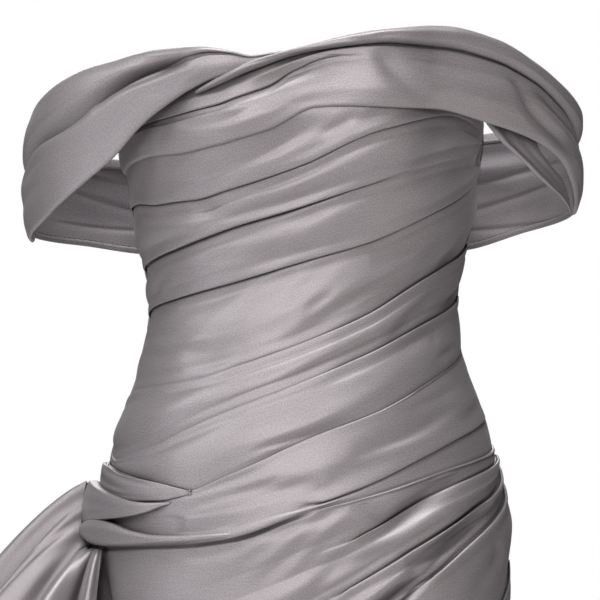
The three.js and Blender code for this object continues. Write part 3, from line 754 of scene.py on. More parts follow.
@dataclass
class Bodice:
    """The front bodice in slanting tucks, and the two back halves in soft ones.

    groove is how far the cloth is drawn in along the zip, and groove_width how wide in degrees.
    """

    pitch: float = 2.6
    back_pitch: float = 3.4
    bulge: float = 2.5
    back_bulge: float = 1.2
    top_bulge: float = 0.25
    groove: float = 1.6
    groove_width: float = 0.55
    hip: Tuck = Tuck((-124, -134, -146, -157, -145, -118, -95, -60, -28))
    lines: Sequence[Tuck] = (
        Tuck(
            (-115, -127, -119, -105, -92, -71, -47, -16, 12),
            lift=(0.5, 0.8, 1.2, 2.0, 1.6),
            pocket=(0.3, 0.4, 0.5, 0.8, 0.8),
        ),
        Tuck(
            (-74, -70, -69, -65, -57, -39, -16, 21, 55),
            lift=(0.6, 0.9, 1.3, 2.2, 1.8),
            pocket=(0.3, 0.4, 0.6, 0.8, 0.8),
        ),
        Tuck(
            (-4, -1, 2, 7, 13, 27, 43, 76, 118),
            lift=(1.8, 2.0, 1.7, 1.2, 0.8),
            pocket=(0.8, 1.0, 1.0, 0.8, 0.5),
            lower_proud=UPPER_PROUD,
        ),
        Tuck(
            (34, 36, 40, 47, 55, 70, 90, 115, 132),
            lift=(2.0, 2.6, 2.4, 0.5, 0.1),
            pocket=(1.0, 1.4, 1.4, 0.4, 0),
            lower_proud=UPPER_PROUD,
        ),
        Tuck(
            (84, 83, 78, 78, 84, 102, 131, 148, 141),
            lift=(1.6, 1.8, 1.6, 1.0, 0),
            pocket=(0.8, 1.0, 1.0, 0.5, 0),
            lower_proud=UPPER_PROUD,
        ),
    )
    top: Tuck = Tuck((150, 151, 153, 158, 166, 174, 176, 165, 150))
    creases: Sequence[Crease] = (
        Crease(((-62, 92), (-40, 94), (-24, 103), (-11, 114), (1, 128), (8, 138)), 3.4, 10, 5),
        Crease(((6, 125), (12, 130), (16, 135), (20, 142)), 1.6, 5, 4),
        Crease(((17, 133), (25, 139), (33, 146)), 2.2, 6, 5),
        Crease(((-66, 76), (-49, 67), (-37, 65), (-23, 67), (-6, 74), (11, 84), (26, 98)), 2.8, 10, 6),
        Crease(((-48, 76), (-41, 72), (-35, 72)), 1.2, 3, 3),
        Crease(((-79, 78), (-73, 66), (-66, 57)), 1.6, 4, 4),
        Crease(((-72, 60), (-62, 57), (-48, 58), (-30, 60)), -1.2, 4, 6),
        Crease(((-49, 26), (-36, 30), (-23, 31), (-9, 35)), 1.7, 7, 5),
        Crease(((-74, 8), (-68, 16), (-60, 20)), 1.4, 4, 4),
        Crease(((-60, -9), (-48, -4), (-37, 3), (-26, 9)), 2.0, 9, 8),
        Crease(((0, -14), (8, -6), (16, 2)), 1.2, 5, 6),
        Crease(((14, 48), (21, 55), (31, 61), (40, 69), (50, 80)), 2.0, 9, 6),
        Crease(((30, 26), (42, 31), (49, 39), (57, 49), (65, 66)), 2.4, 12, 6),
        Crease(((34, 15), (46, 24), (56, 38), (62, 52)), -1.6, 6, 5),
        Crease(((2, -24), (13, -13), (23, -4), (34, 8), (45, 21), (55, 35), (63, 50), (73, 73)), 2.8, 4.5, 8),
        Crease(((62, 25), (69, 38), (74, 52), (78, 66)), 2.6, 4, 6),
        Crease(((40, -36), (45, -23), (55, -5), (65, 11), (79, 28)), 2.8, 4.5, 6),
        Crease(((67, -6), (75, 5), (84, 16)), 2.2, 3, 4),
        Crease(((41, -49), (49, -38), (58, -28), (69, -19)), 1.8, 7, 5),
        Crease(((58, -37), (61, -27)), 1.2, 3, 3),
        Crease(((57, -51), (65, -41), (74, -32)), 2.0, 3, 4),
        Crease(((-84, -28), (-69, -27), (-58, -25)), 0.9, 4, 4),
        Crease(((-84, -38), (-67, -43), (-54, -48)), 1.1, 4, 4),
        Crease(((-74, -34), (-60, -36), (-44, -35), (-30, -31)), -0.9, 3, 4),
        Crease(((-63, -40), (-50, -43), (-38, -42), (-25, -37)), 1.5, 8, 6),
        Crease(((-53, -55), (-43, -53), (-31, -50)), 1.7, 8, 5),
        Crease(((-56, -84), (-42, -82), (-29, -75), (-15, -65)), 1.1, 10, 10),
        Crease(((-6, -95), (7, -87), (20, -79), (37, -65)), 1.1, 8, 8),
        Crease(((13, -46), (24, -40), (35, -33)), 1.1, 7, 7),
        Crease(((87, 150), (84, 138), (80, 126), (77, 114)), 5.0, 3.4, 3.4),
        Crease(((80, 140), (76, 128), (72, 116)), -1.6, 4, 4),
        Crease(((51, 149), (50, 130), (48, 109), (42, 92)), 1.8, 13, 13),
        Crease(((-73, -123), (-62, -119), (-49, -113), (-37, -104)), 1.2, 8, 8),
        Crease(((48, -95), (51, -92), (60, -82), (74, -67)), 2.4, 5, 5),
        Crease(((61, -68), (70, -56)), 1.5, 3, 3),
        Crease(((48, -101), (56, -93), (66, -82)), -1.2, 3, 4),
        Crease(((-22, -129), (-17, -124), (-5, -117), (7, -109), (17, -102), (26, -97)), 2.2, 2.4, 2.2),
    )
    back_left: Table = (
        (-114, -128, -134, -136),
        (-62, -82, -92, -95),
        (-8, -30, -42, -46),
        (44, 22, 8, 4),
        (98, 78, 62, 56),
        (149, 141, 137, 136),
    )
    back_right: Table = (
        (-150, -142, -138, -136),
        (-92, -94, -95, -95),
        (-40, -44, -46, -46),
        (12, 6, 4, 4),
        (66, 58, 56, 56),
        (149, 133, 132, 134),
    )
    back_lift: Sequence[float] = (0.4, 1.4, 1.7, 1.5, 1.3)
    back_pocket: Sequence[float] = (0.2, 0.6, 0.8, 0.6, 0.5)
    back_creases: Sequence[Crease] = (
        Crease(((4, -40), (22, -58), (44, -66)), 1.6, 6, 5),
        Crease(((3, 20), (18, 2), (40, -10)), 1.8, 6, 5),
        Crease(((10, 66), (30, 48), (58, 40)), 1.4, 7, 6),
        Crease(((2, 124), (16, 110), (30, 102)), 2.0, 5, 5),
        Crease(((40, 24), (62, 12), (84, 6)), 1.2, 8, 6),
        Crease(((36, -84), (60, -92), (82, -96)), 1.2, 8, 7),
        Crease(((4, 88), (12, 84), (22, 76)), 1.4, 3, 3),
        Crease(((50, 112), (66, 104), (86, 100)), 1.1, 9, 8),
        Crease(((2, -78), (12, -88), (26, -96)), 1.5, 4, 4),
        Crease(((54, -30), (70, -36), (86, -38)), 1.0, 8, 8),
    )

    def front(self) -> Piece:
        """Builds the front from side seam to side seam, its lower edge turned under the hip wrap.

        Returns:
            The piece.
        """
        angle = columns(-SIDE, SIDE, FACE_STEP)
        rows = Rows(len(angle))
        hip = self.hip.height(angle)
        rows.add(hip - 3, -1.0)
        rows.add(hip - 1, -0.9, 2)
        tucked(angle, (self.hip, *self.lines, self.top), self.bulge, self.pitch, rows, self.top_bulge)
        thing = lapped_shell("front_bodice", angle, rows, over_figure(CLOTH), softened(self.creases, 3))
        return Piece(thing, "bodice_front", Cut(0.40, 0.27, Held.FOLDED, ("hip_sash",)))

    def back(self, side: int) -> Piece:
        """Builds one back half.

        Args:
            side: 1 for the wearer's left, -1 for the right.

        Returns:
            The piece.
        """
        lines = self.back_left if side > 0 else self.back_right
        hand, tilt = ("left", -20) if side > 0 else ("right", 4)
        away = columns(90 - SIDE, 89.9, FACE_STEP)
        tucks = [Tuck(line, BACK_STATIONS, self.back_lift, self.back_pocket, UPPER_PROUD) for line in lines]
        rows = Rows(len(away))
        tucked(away, tucks, self.back_bulge, self.back_pitch, rows)
        relief = softened(self.back_creases, 7 + side, tilt)

        def base(turn: Array, z: Array) -> Array:
            """The figure's back under the cloth, drawn in a little along the zip."""
            groove = self.groove * swell((180 - np.abs(turn)) / self.groove_width)
            return FIGURE.radius(turn, z) + CLOTH - groove

        thing = lapped_shell(
            "back_bodice_" + hand,
            (90 + away) * side,
            rows,
            base,
            lambda turn, z: relief(np.abs(turn) - 90, z),
            side < 0,
        )
        return Piece(thing, "bodice_back_" + hand, Cut(0.19, 0.27, Held.FOLDED, ("skirt_back",)))


# ---------------------------------------------------------------- skirt and hip wrap


@dataclass
class Skirt:
    """The floor-length skirt: a front with tucks out of the left hip and a back in soft upright folds.

    Each of folds holds an angle, a width in degrees and a depth at the hem. start is how far below the
    lowest tuck the tucked part begins.
    """

    folds: Table = (
        (-74, 9, 12),
        (-48, 11, 16),
        (-20, 12, 13),
        (12, 12, 20),
        (40, 11, 14),
        (68, 10, 18),
        (98, 10, 15),
        (124, 10, 20),
        (152, 10, 16),
        (180, 10, 20),
        (208, 10, 15),
        (236, 10, 18),
        (262, 9, 12),
    )
    fold_start: float = -330
    pitch: float = 3.6
    bulge: float = 2.0
    top_bulge: float = 0.6
    start: float = 30
    lines: Sequence[Tuck] = (
        Tuck(
            (-520, -518, -512, -500, -486, -438, -370, -285, -205),
            lift=(0, 0, 0.2, 1.6, 1.6),
            pocket=(0, 0, 0.1, 0.8, 0.8),
        ),
        Tuck(
            (-400, -395, -388, -375, -355, -312, -262, -198, -142),
            lift=(0, 0, 1.0, 3.4, 3.0),
            pocket=(0, 0, 0.4, 1.4, 1.2),
        ),
        Tuck(
            (-315, -312, -306, -298, -286, -255, -220, -175, -128),
            lift=(0, 0, 0.1, 3.0, 3.0),
            pocket=(0, 0, 0.1, 1.4, 1.2),
        ),
        Tuck(
            (-255, -253, -250, -245, -236, -213, -186, -147, -119),
            lift=(0, 0, 0, 2.2, 2.6),
            pocket=(0, 0, 0, 1.0, 1.0),
        ),
    )
    top: Tuck = Tuck((-198, -198, -199, -199, -196, -176, -159, -134, -111), lift=(0, 0, 0.6, 1.3, 1.4))
    creases: Sequence[Crease] = (
        Crease(((-79, -198), (-78, -225), (-76, -300), (-73, -420)), 15.0, 9, 7),
        Crease(((20, -196), (28, -192), (36, -184), (44, -170), (52, -154), (60, -139)), 8.0, 9, 6),
        Crease(((26, -216), (36, -203), (46, -184), (56, -164)), -0.8, 6, 7),
        Crease(((18, -168), (25, -172), (33, -177), (42, -172), (52, -158)), 2.6, 9, 6),
        Crease(((38, -220), (45, -212), (52, -202), (59, -189), (66, -174), (72, -160)), 10.5, 10, 5),
        Crease(((40, -205), (48, -193), (56, -178), (64, -162)), -2.4, 6, 6),
        Crease(
            ((3, -237), (9, -224), (18, -214), (29, -205), (38, -196), (47, -183), (55, -167)),
            4.6,
            12,
            8,
        ),
        Crease(((22, -268), (29, -258), (35, -247), (41, -235), (47, -223)), 11.0, 10, 5),
        Crease(((20, -250), (27, -240), (34, -229), (41, -217)), -2.4, 6, 6),
        Crease(((80, -149), (74, -161), (69, -178)), 2.0, 4, 4),
        Crease(((69, -214), (72, -202), (73, -191)), 4.0, 6, 5),
        Crease(((-48, -205), (-39, -208), (-31, -204), (-23, -199)), 1.6, 7, 5),
        Crease(((-62, -210), (-50, -212), (-39, -221)), 1.0, 12, 12),
        Crease(((60, -241), (66, -221), (71, -204)), 1.8, 7, 7),
        Crease(((-21, -196), (-1, -185), (15, -174)), 1.4, 6, 4),
        Crease(((-20, -300), (6, -268), (30, -244)), 1.6, 16, 12),
        Crease(((-60, -380), (-30, -360), (0, -330), (24, -300)), 1.8, 22, 16),
        Crease(((30, -330), (50, -290), (70, -240)), 4.0, 12, 9),
        Crease(((20, -420), (46, -360), (72, -290)), 2.2, 16, 12),
        Crease(((-70, -640), (-40, -600), (0, -560), (40, -480)), 2.4, 34, 26),
        Crease(((-30, -1000), (-27, -820), (-20, -640)), 3.0, 16, 16),
        Crease(((26, -1020), (27, -800), (34, -560)), 3.4, 16, 18),
        Crease(((55, -1040), (54, -800), (58, -520)), 3.0, 16, 16),
        Crease(((-62, -1040), (-60, -860), (-56, -700)), 3.2, 16, 16),
    )
    back_creases: Sequence[Crease] = (
        Crease(((112, -250), (111, -500), (110, -980)), 4.0, 18, 18),
        Crease(((138, -200), (138, -480), (139, -1000)), 3.6, 18, 20),
        Crease(((166, -240), (166, -560), (166, -1020)), 4.2, 20, 16),
        Crease(((195, -230), (194, -520), (194, -1000)), 4.0, 18, 20),
        Crease(((222, -190), (222, -460), (222, -990)), 3.6, 16, 18),
        Crease(((249, -260), (249, -540), (250, -1010)), 3.6, 16, 16),
        Crease(((96, -150), (110, -172), (126, -184)), 1.6, 8, 6),
        Crease(((120, -160), (150, -178), (176, -182)), 1.2, 10, 8),
        Crease(((184, -170), (205, -176), (228, -180)), 1.2, 10, 8),
        Crease(((236, -180), (250, -190), (264, -196)), 1.6, 7, 6),
    )

    def fold(self, angle: Array, z: Array) -> Array:
        """How far the upright folds stand out.

        Args:
            angle: The angle of each point.
            z: The height of each point.

        Returns:
            The distance at each point, growing towards the hem.
        """
        share = smoothstep(self.fold_start - z, 0, self.fold_start - HEM_Z)
        total = np.zeros(np.shape(z))
        for middle, width, depth in self.folds:
            away = np.mod(angle - middle + 180, 360) - 180
            total = total + share * depth * swell(away / width)
        return total

    def base(self, angle: Array, z: Array) -> Array:
        """The skirt's outer face without its tucks."""
        level = np.maximum(z, HEM_Z)
        return FIGURE.radius(angle, level) + self.fold(angle, level) + CLOTH

    @staticmethod
    def plain(rows: Rows, stop: Array, count: int, power: float) -> None:
        """Adds plain rows from the hem up.

        Args:
            rows: Where they go.
            stop: The height at which they stop.
            count: How many stretches there are up to it.
            power: Below 1, the rows lie closer towards the top.
        """
        for n in range(count):
            rows.add(mix(HEM_Z, stop, (n / count) ** power), 0)

    def front(self) -> Piece:
        """Builds the front from the hem to the hip wrap.

        Returns:
            The piece.
        """
        angle = columns(-SIDE, SIDE, FACE_STEP)
        rows = Rows(len(angle))
        stop = self.lines[0].height(angle) - self.start
        self.plain(rows, stop, 60, 0.92)
        start = Tuck(tuple(at - self.start for at in self.lines[0].at))
        tucked(angle, (start, *self.lines, self.top), self.bulge, self.pitch, rows, self.top_bulge)
        top, rise = self.top.height(angle), self.top.read(self.top.lift, angle)
        proud = smoothstep(angle, -10, 12)
        rows.z[-1], rows.out[-1] = top - 1.6, rise * 0.9 * proud - 0.9 * (1 - proud)
        rows.add(top - 0.2 * proud + 1.5 * (1 - proud), rise * 0.75 * proud - 1.2 * (1 - proud), 2)
        rows.add(top + 0.1 * proud + 3.5 * (1 - proud), -0.5 * proud - 1.4 * (1 - proud), 2)
        relief = creased(self.creases)

        def extra(turn: Array, z: Array) -> Array:
            """Creases, which fade out at the hem, and a faint waviness."""
            still = smoothstep(z, HEM_Z, HEM_Z + 40)
            return relief(turn, z) * (0.5 + 0.5 * still) + ripple(turn, z, 11, 38, 0.3)

        thing = lapped_shell("front_skirt", angle, rows, self.base, extra)
        return Piece(thing, "skirt_front", Cut(0.56, 0.95, Held.HUNG, ("hip_sash",), 0.46))

    def back(self, bodice: Bodice) -> Piece:
        """Builds the back from the hem to the bodice.

        Args:
            bodice: The bodice that it is sewn to.

        Returns:
            The piece.
        """
        angle = columns(180 - SIDE, 180 + SIDE, FACE_STEP)
        left, right = (Curve(BACK_STATIONS, lines[0]) for lines in (bodice.back_left, bodice.back_right))
        seam = np.where(angle < 180, left(angle - 90), right(270 - angle)) - SEAM
        rows = Rows(len(angle))
        self.plain(rows, seam, 100, 0.9)
        rows.add(seam, 0)
        relief = creased(self.back_creases)

        def extra(turn: Array, z: Array) -> Array:
            """Creases, which fade out at the hem, and a faint waviness."""
            still = smoothstep(z, HEM_Z - 60, HEM_Z + 40)
            return relief(turn, z) * still + ripple(turn, z, 13, 84, 0.4)

        thing = shell("back_skirt", wrapped(angle, rows, self.base, extra))
        return Piece(thing, "skirt_back", Cut(0.60, 0.93, Held.HUNG, ("bodice_back_left",), 0.48))


@dataclass
class HipWrap:
    """The wrap round the front of the hips, gathered into the knot on the right.

    Each row of sash holds an angle, the height of its tuck and the stand of the cloth below it.
    """

    sash: Table = (
        (-90, -186, 0),
        (-60, -186, 0),
        (-48, -187, 0),
        (-42, -188, 3.4),
        (-30, -186, 4),
        (-12, -176, 3.4),
        (0, -171, 2.4),
        (6, -167.5, 1.6),
        (14, -162, 0.9),
        (30, -148, 0.5),
        (46, -129, 0.3),
        (60, -112, 0.2),
        (74, -98, 0),
        (90, -86, 0),
    )
    crown: float = 1.5
    creases: Sequence[Crease] = (
        Crease(((18, -132), (21, -130), (31, -122), (42, -113), (52, -101), (63, -84)), 2.6, 8, 4),
        Crease(((9, -148), (19, -141), (28, -135), (38, -126)), 1.4, 7, 6),
        Crease(((-52, -176), (-47, -173), (-39, -168), (-29, -161), (-18, -155), (-8, -149)), 1.8, 5, 5),
        Crease(((-50, -188), (-42, -189), (-34, -187), (-28, -182), (-25, -174)), 1.8, 8, 4),
        Crease(((-46, -162), (-34, -154), (-22, -146), (-10, -138)), 1.2, 4, 4),
        Crease(((-30, -172), (-12, -160), (6, -148)), 0.9, 6, 6),
        Crease(((40, -96), (56, -80), (72, -62)), 1.6, 5, 5),
        Crease(((64, -96), (76, -84), (86, -74)), 1.6, 4, 4),
    )

    def build(self, upper: Tuck, lower: Tuck) -> Piece:
        """Builds the wrap from side seam to side seam.

        Args:
            upper: The line where it meets the bodice.
            lower: The line where it meets the skirt.

        Returns:
            The piece.
        """
        angle = columns(-SIDE, SIDE, FACE_STEP)
        tuck, low = (curve(angle) for curve in table_curves(self.sash))
        hip, skirt = upper.height(angle), lower.height(angle)
        proud = 1 - smoothstep(angle, -10, 12)
        under = 1 - proud
        lap = smoothstep(angle, -4, 10)
        rows = Rows(len(angle))
        inner = np.maximum(tuck - skirt, 2)
        rows.add(skirt + 2.5 * proud - 5 * under, -1.0)
        rows.add(skirt + 0.9 * proud - 3 * under, mix(-0.9, low - 3.0, proud), 2)
        rows.add(skirt + 0.2 * proud - 1 * under, mix(-0.7, low - 1.6, proud), 2)
        rows.add(skirt + 0.3 * proud + 1 * under, mix(-0.4, low - 0.6, proud), 2)
        rows.add(skirt + mix(2.5, 1.3, proud), low * 1.02, 2)
        rows.add(skirt + mix(np.minimum(5, inner * 0.4), 3.2, proud), low * 1.06, 2)
        rows.add(mix(skirt, tuck, 0.62), low * 0.9 + 0.2, 3)
        fold = np.minimum(1, inner / 9)
        plain = np.linspace(EDGE.offset[3], EDGE.offset[-1], len(EDGE.offset) - 3)
        for flat, offset, lift, pocket in zip(plain, EDGE.offset[3:], EDGE.lift[3:], EDGE.pocket[3:]):
            height = mix(flat, offset, lap) * np.where(mix(flat, offset, lap) < 0, fold, 1)
            rows.add(tuck + height, (1 - lap) * low * 0.5 + lap * (lift * 1.7 - pocket * 0.8) + 0.1)
        crown = self.crown * (1 - 0.55 * smoothstep(angle, 10, 50))
        for share, puff in ((0.3, 0.8), (0.45, 1.0), (0.6, 1.05), (0.75, 1.0), (0.88, 0.8)):
            rows.add(mix(tuck + 4, hip, share), crown * puff + lap * (1 - share) * 1.0, 4)
        rows.add(hip - 2.2, crown * 0.85, 3)
        rows.add(hip - 0.8, crown * 0.8, 2)
        rows.add(hip - 0.1, crown * 0.55, 2)
        rows.add(hip + 0.1, crown * 0.2, 2)
        rows.add(hip - 0.4, -0.15, 2)
        rows.add(hip - 2.0, -0.3, 2)
        points = wrapped(angle, rows, over_figure(CLOTH), softened(self.creases, 17, 20, 0.2))
        cut = Cut(0.46, 0.085, Held.FOLDED, ("bodice_front",), 0.032)
        return Piece(shell("hip_wrap", points), "hip_sash", cut)


# ---------------------------------------------------------------- knot and drape


@dataclass
class KnotFold:
    """One wrapped fold of the knot: a flattened roll whose edges turn under.

    Each row of table holds an angle, its lower and upper heights and its stand; the shares say how much
    of the stand is left at either edge.
    """

    name: str
    node: str
    table: Table
    low_share: float
    high_share: float
    creases: Sequence[Crease]
    cut: Cut

    def build(self) -> Piece:
        """Builds the fold over the flat end of the wrap.

        Returns:
            The piece.
        """
        angle = columns(self.table[0][0], self.table[-1][0], 0.6)
        low, high, stand = (curve(angle) for curve in table_curves(self.table))
        tall = high - low
        rows = Rows(len(angle))
        rows.add(low + tall * 0.08, stand * self.low_share * 0.1 - 0.4)
        rows.add(low + tall * 0.01, stand * self.low_share * 0.4, 3)
        rows.add(low + tall * 0.02, stand * mix(self.low_share, 1, 0.25), 3)
        rows.add(low + tall * 0.16, stand * mix(self.low_share, 1, 0.7), 4)
        rows.add(low + tall * 0.40, stand * 1.0, 6)
        rows.add(low + tall * 0.66, stand * 1.03, 6)
        rows.add(low + tall * 0.86, stand * mix(1, self.high_share, 0.35), 6)
        rows.add(low + tall * 0.975, stand * mix(self.high_share, 0.8, 0.3), 4)
        rows.add(low + tall * 0.995, stand * self.high_share * 0.6, 3)
        rows.add(low + tall * 0.94, stand * self.high_share * 0.1 - 0.2, 3)
        base = over_figure(2 * CLOTH + 0.4)
        points = wrapped(angle, rows, base, softened(self.creases, 23, 10, 0.12))
        return Piece(shell(self.name, points, ROLLED_WALL), self.node, self.cut)


KNOT = (
    KnotFold(
        "knot_upper",
        "knot_upper_fold",
        (
            (-90, -139, -124.5, 3.5),
            (-75, -152.5, -132.5, 4.2),
            (-68, -158.5, -139.5, 4.6),
            (-60, -163.5, -144.8, 4.4),
            (-52, -164.0, -149.8, 3.2),
            (-46, -161.5, -154.2, 1.6),
            (-42, -159.0, -157.0, -0.6),
        ),
        0.3,
        1,
        (
            Crease(((-88, -134), (-75, -145), (-62, -156)), 1.9, 3, 2.2),
            Crease(((-80, -131), (-68, -142), (-54, -152)), 1.0, 1.6, 2),
            Crease(((-76, -149), (-66, -157), (-56, -161)), 0.8, 1.6, 1.6),
        ),
        Cut(0.11, 0.03, Held.FOLDED, ("hip_sash",), 0.0026),
    ),
    KnotFold(
        "knot_over",
        "knot_over_fold",
        (
            (-84.5, -177, -141, 13.4),
            (-80, -176.6, -145.5, 12),
            (-74, -176.4, -151.2, 10),
            (-66, -176.2, -158.6, 8.4),
            (-60, -175.2, -163.2, 7.2),
            (-55, -172.6, -165.0, 5.4),
            (-51, -168.6, -165.4, 3.0),
            (-48.5, -166.4, -165.2, 0.2),
        ),
        0.7,
        0.9,
        (
            Crease(((-84, -156), (-76, -163), (-64, -167), (-57, -169)), 1.3, 5, 5),
            Crease(((-83, -170), (-74, -171), (-63, -171)), 0.9, 3, 3),
        ),
        Cut(0.10, 0.05, Held.FOLDED, ("hip_sash",), 0.0032),
    ),
    KnotFold(
        "knot_roll",
        "knot_under_roll",
        (
            (-84.5, -191.5, -174.5, 14),
            (-80, -194.5, -174.2, 12.6),
            (-74, -196.8, -175.4, 11),
            (-68, -198.0, -179.0, 9.6),
            (-60, -198.6, -186.8, 8.2),
            (-52, -198.6, -191.0, 7.0),
            (-44, -198.2, -192.0, 5.8),
            (-36, -196.8, -191.4, 4.6),
            (-30, -195.4, -190.8, 3.4),
            (-25, -193.6, -190.6, 1.6),
        ),
        0.3,
        0.7,
        (
            Crease(((-84, -183), (-74, -187), (-60, -193), (-50, -196)), 1.4, 4, 3),
        ),
        Cut(0.14, 0.04, Held.FOLDED, ("hip_sash",), 0.0034),
    ),
)


@dataclass
class SideDrape:
    """The drape that falls from the knot in flutes and sweeps out over the floor."""

    folds: Table = (
        (-74.5, -199.5, 4, 80, 110),
        (-76.5, -199, 6.5, 70, 175),
        (-78.5, -198.5, 6, 55, 125),
        (-81, -197.5, 9, 44, 330),
        (-84.6, -194, 9, 30, 250),
        (-84.7, -180, 11, 14, 400),
        (-84.8, -161, 12, 2, 330),
        (-84.9, -142, 13, -8, 415),
        (-87.5, -147, 11, -24, 320),
        (-90, -159, 9.5, -40, 400),
        (-93, -171, 8, -56, 270),
        (-96, -183, 6.5, -70, 330),
        (-99, -194, 4, -86, 230),
    )
    start: float = 0.004
    spread: float = 1.4
    fall: float = 1.35
    waves: Table = ((0.5, 0.9, 0.3), (0.35, 1.7, 0.15))
    flutes: Table = ((1.5, 6.3, 0.6), (0.4, 14.7, 1))
    columns_per_fold: int = 24
    row_count: int = 110

    def build(self) -> Piece:
        """Builds the drape as one continuous sheet with uneven flutes.

        Each row of folds holds the angle and height where a fold leaves the knot, how far it stands off,
        its heading and its reach over the floor. Waves sway the hem and flutes gather the top; each of
        their rows holds a height, a pace and a start.

        Returns:
            The piece.
        """
        count = len(self.folds)
        order = np.arange(count)
        n = np.linspace(0, count - 1, (count - 1) * self.columns_per_fold + 1)
        angle, z, out, way, reach = (Curve(tuple(order), column)(n) for column in zip(*self.folds))
        top = place(angle, z, FIGURE.radius(angle, z) + CLOTH + out)
        fall = mix(self.start, 1, np.linspace(0, 1, self.row_count + 1) ** 1.25)
        drop = fall[None, :]
        wave = sum(size * np.sin(2 * np.pi * (n * pace + start)) for size, pace, start in self.waves)[:, None]
        sway = 3.2 * np.sin(2.2 * drop * np.pi + n[:, None] * 1.9) * drop
        away = reach[:, None] * (1 - (1 - drop) ** self.spread) * (1 + 0.018 * wave * drop)
        heading = np.radians(way[:, None] + (1.6 * wave + 0.3 * sway) * smoothstep(drop, 0.0, 0.5))
        x = top[:, 0][:, None] - away * np.cos(heading)
        y = top[:, 1][:, None] - away * np.sin(heading)
        height = mix(top[:, 2][:, None], HEM_Z, drop**self.fall)
        points = np.stack([x, y, height], -1)[::-1]
        normal = grid_normals(points, 2)
        turned = n[::-1, None]
        pucker = 0.7 * np.sin(turned * 7.3) * swell((drop - 0.03) / 0.05)
        flute = sum(size * np.sin(turned * pace + start) for size, pace, start in self.flutes)
        pucker = pucker + flute * smoothstep(drop, 0.01, 0.10) * (1 - smoothstep(drop, 0.35, 0.9))
        points = points + normal * (CLOTH / 2 + pucker[..., None])
        points[..., 2] = np.maximum(points[..., 2], HEM_Z)
        return Piece(
            shell("drape", points, CLOTH),
            "side_drape",
            Cut(1.9, 0.95, Held.GATHERED, ("knot_over_fold", "knot_under_roll"), 0.95),
        )


# ---------------------------------------------------------------- shoulder bands


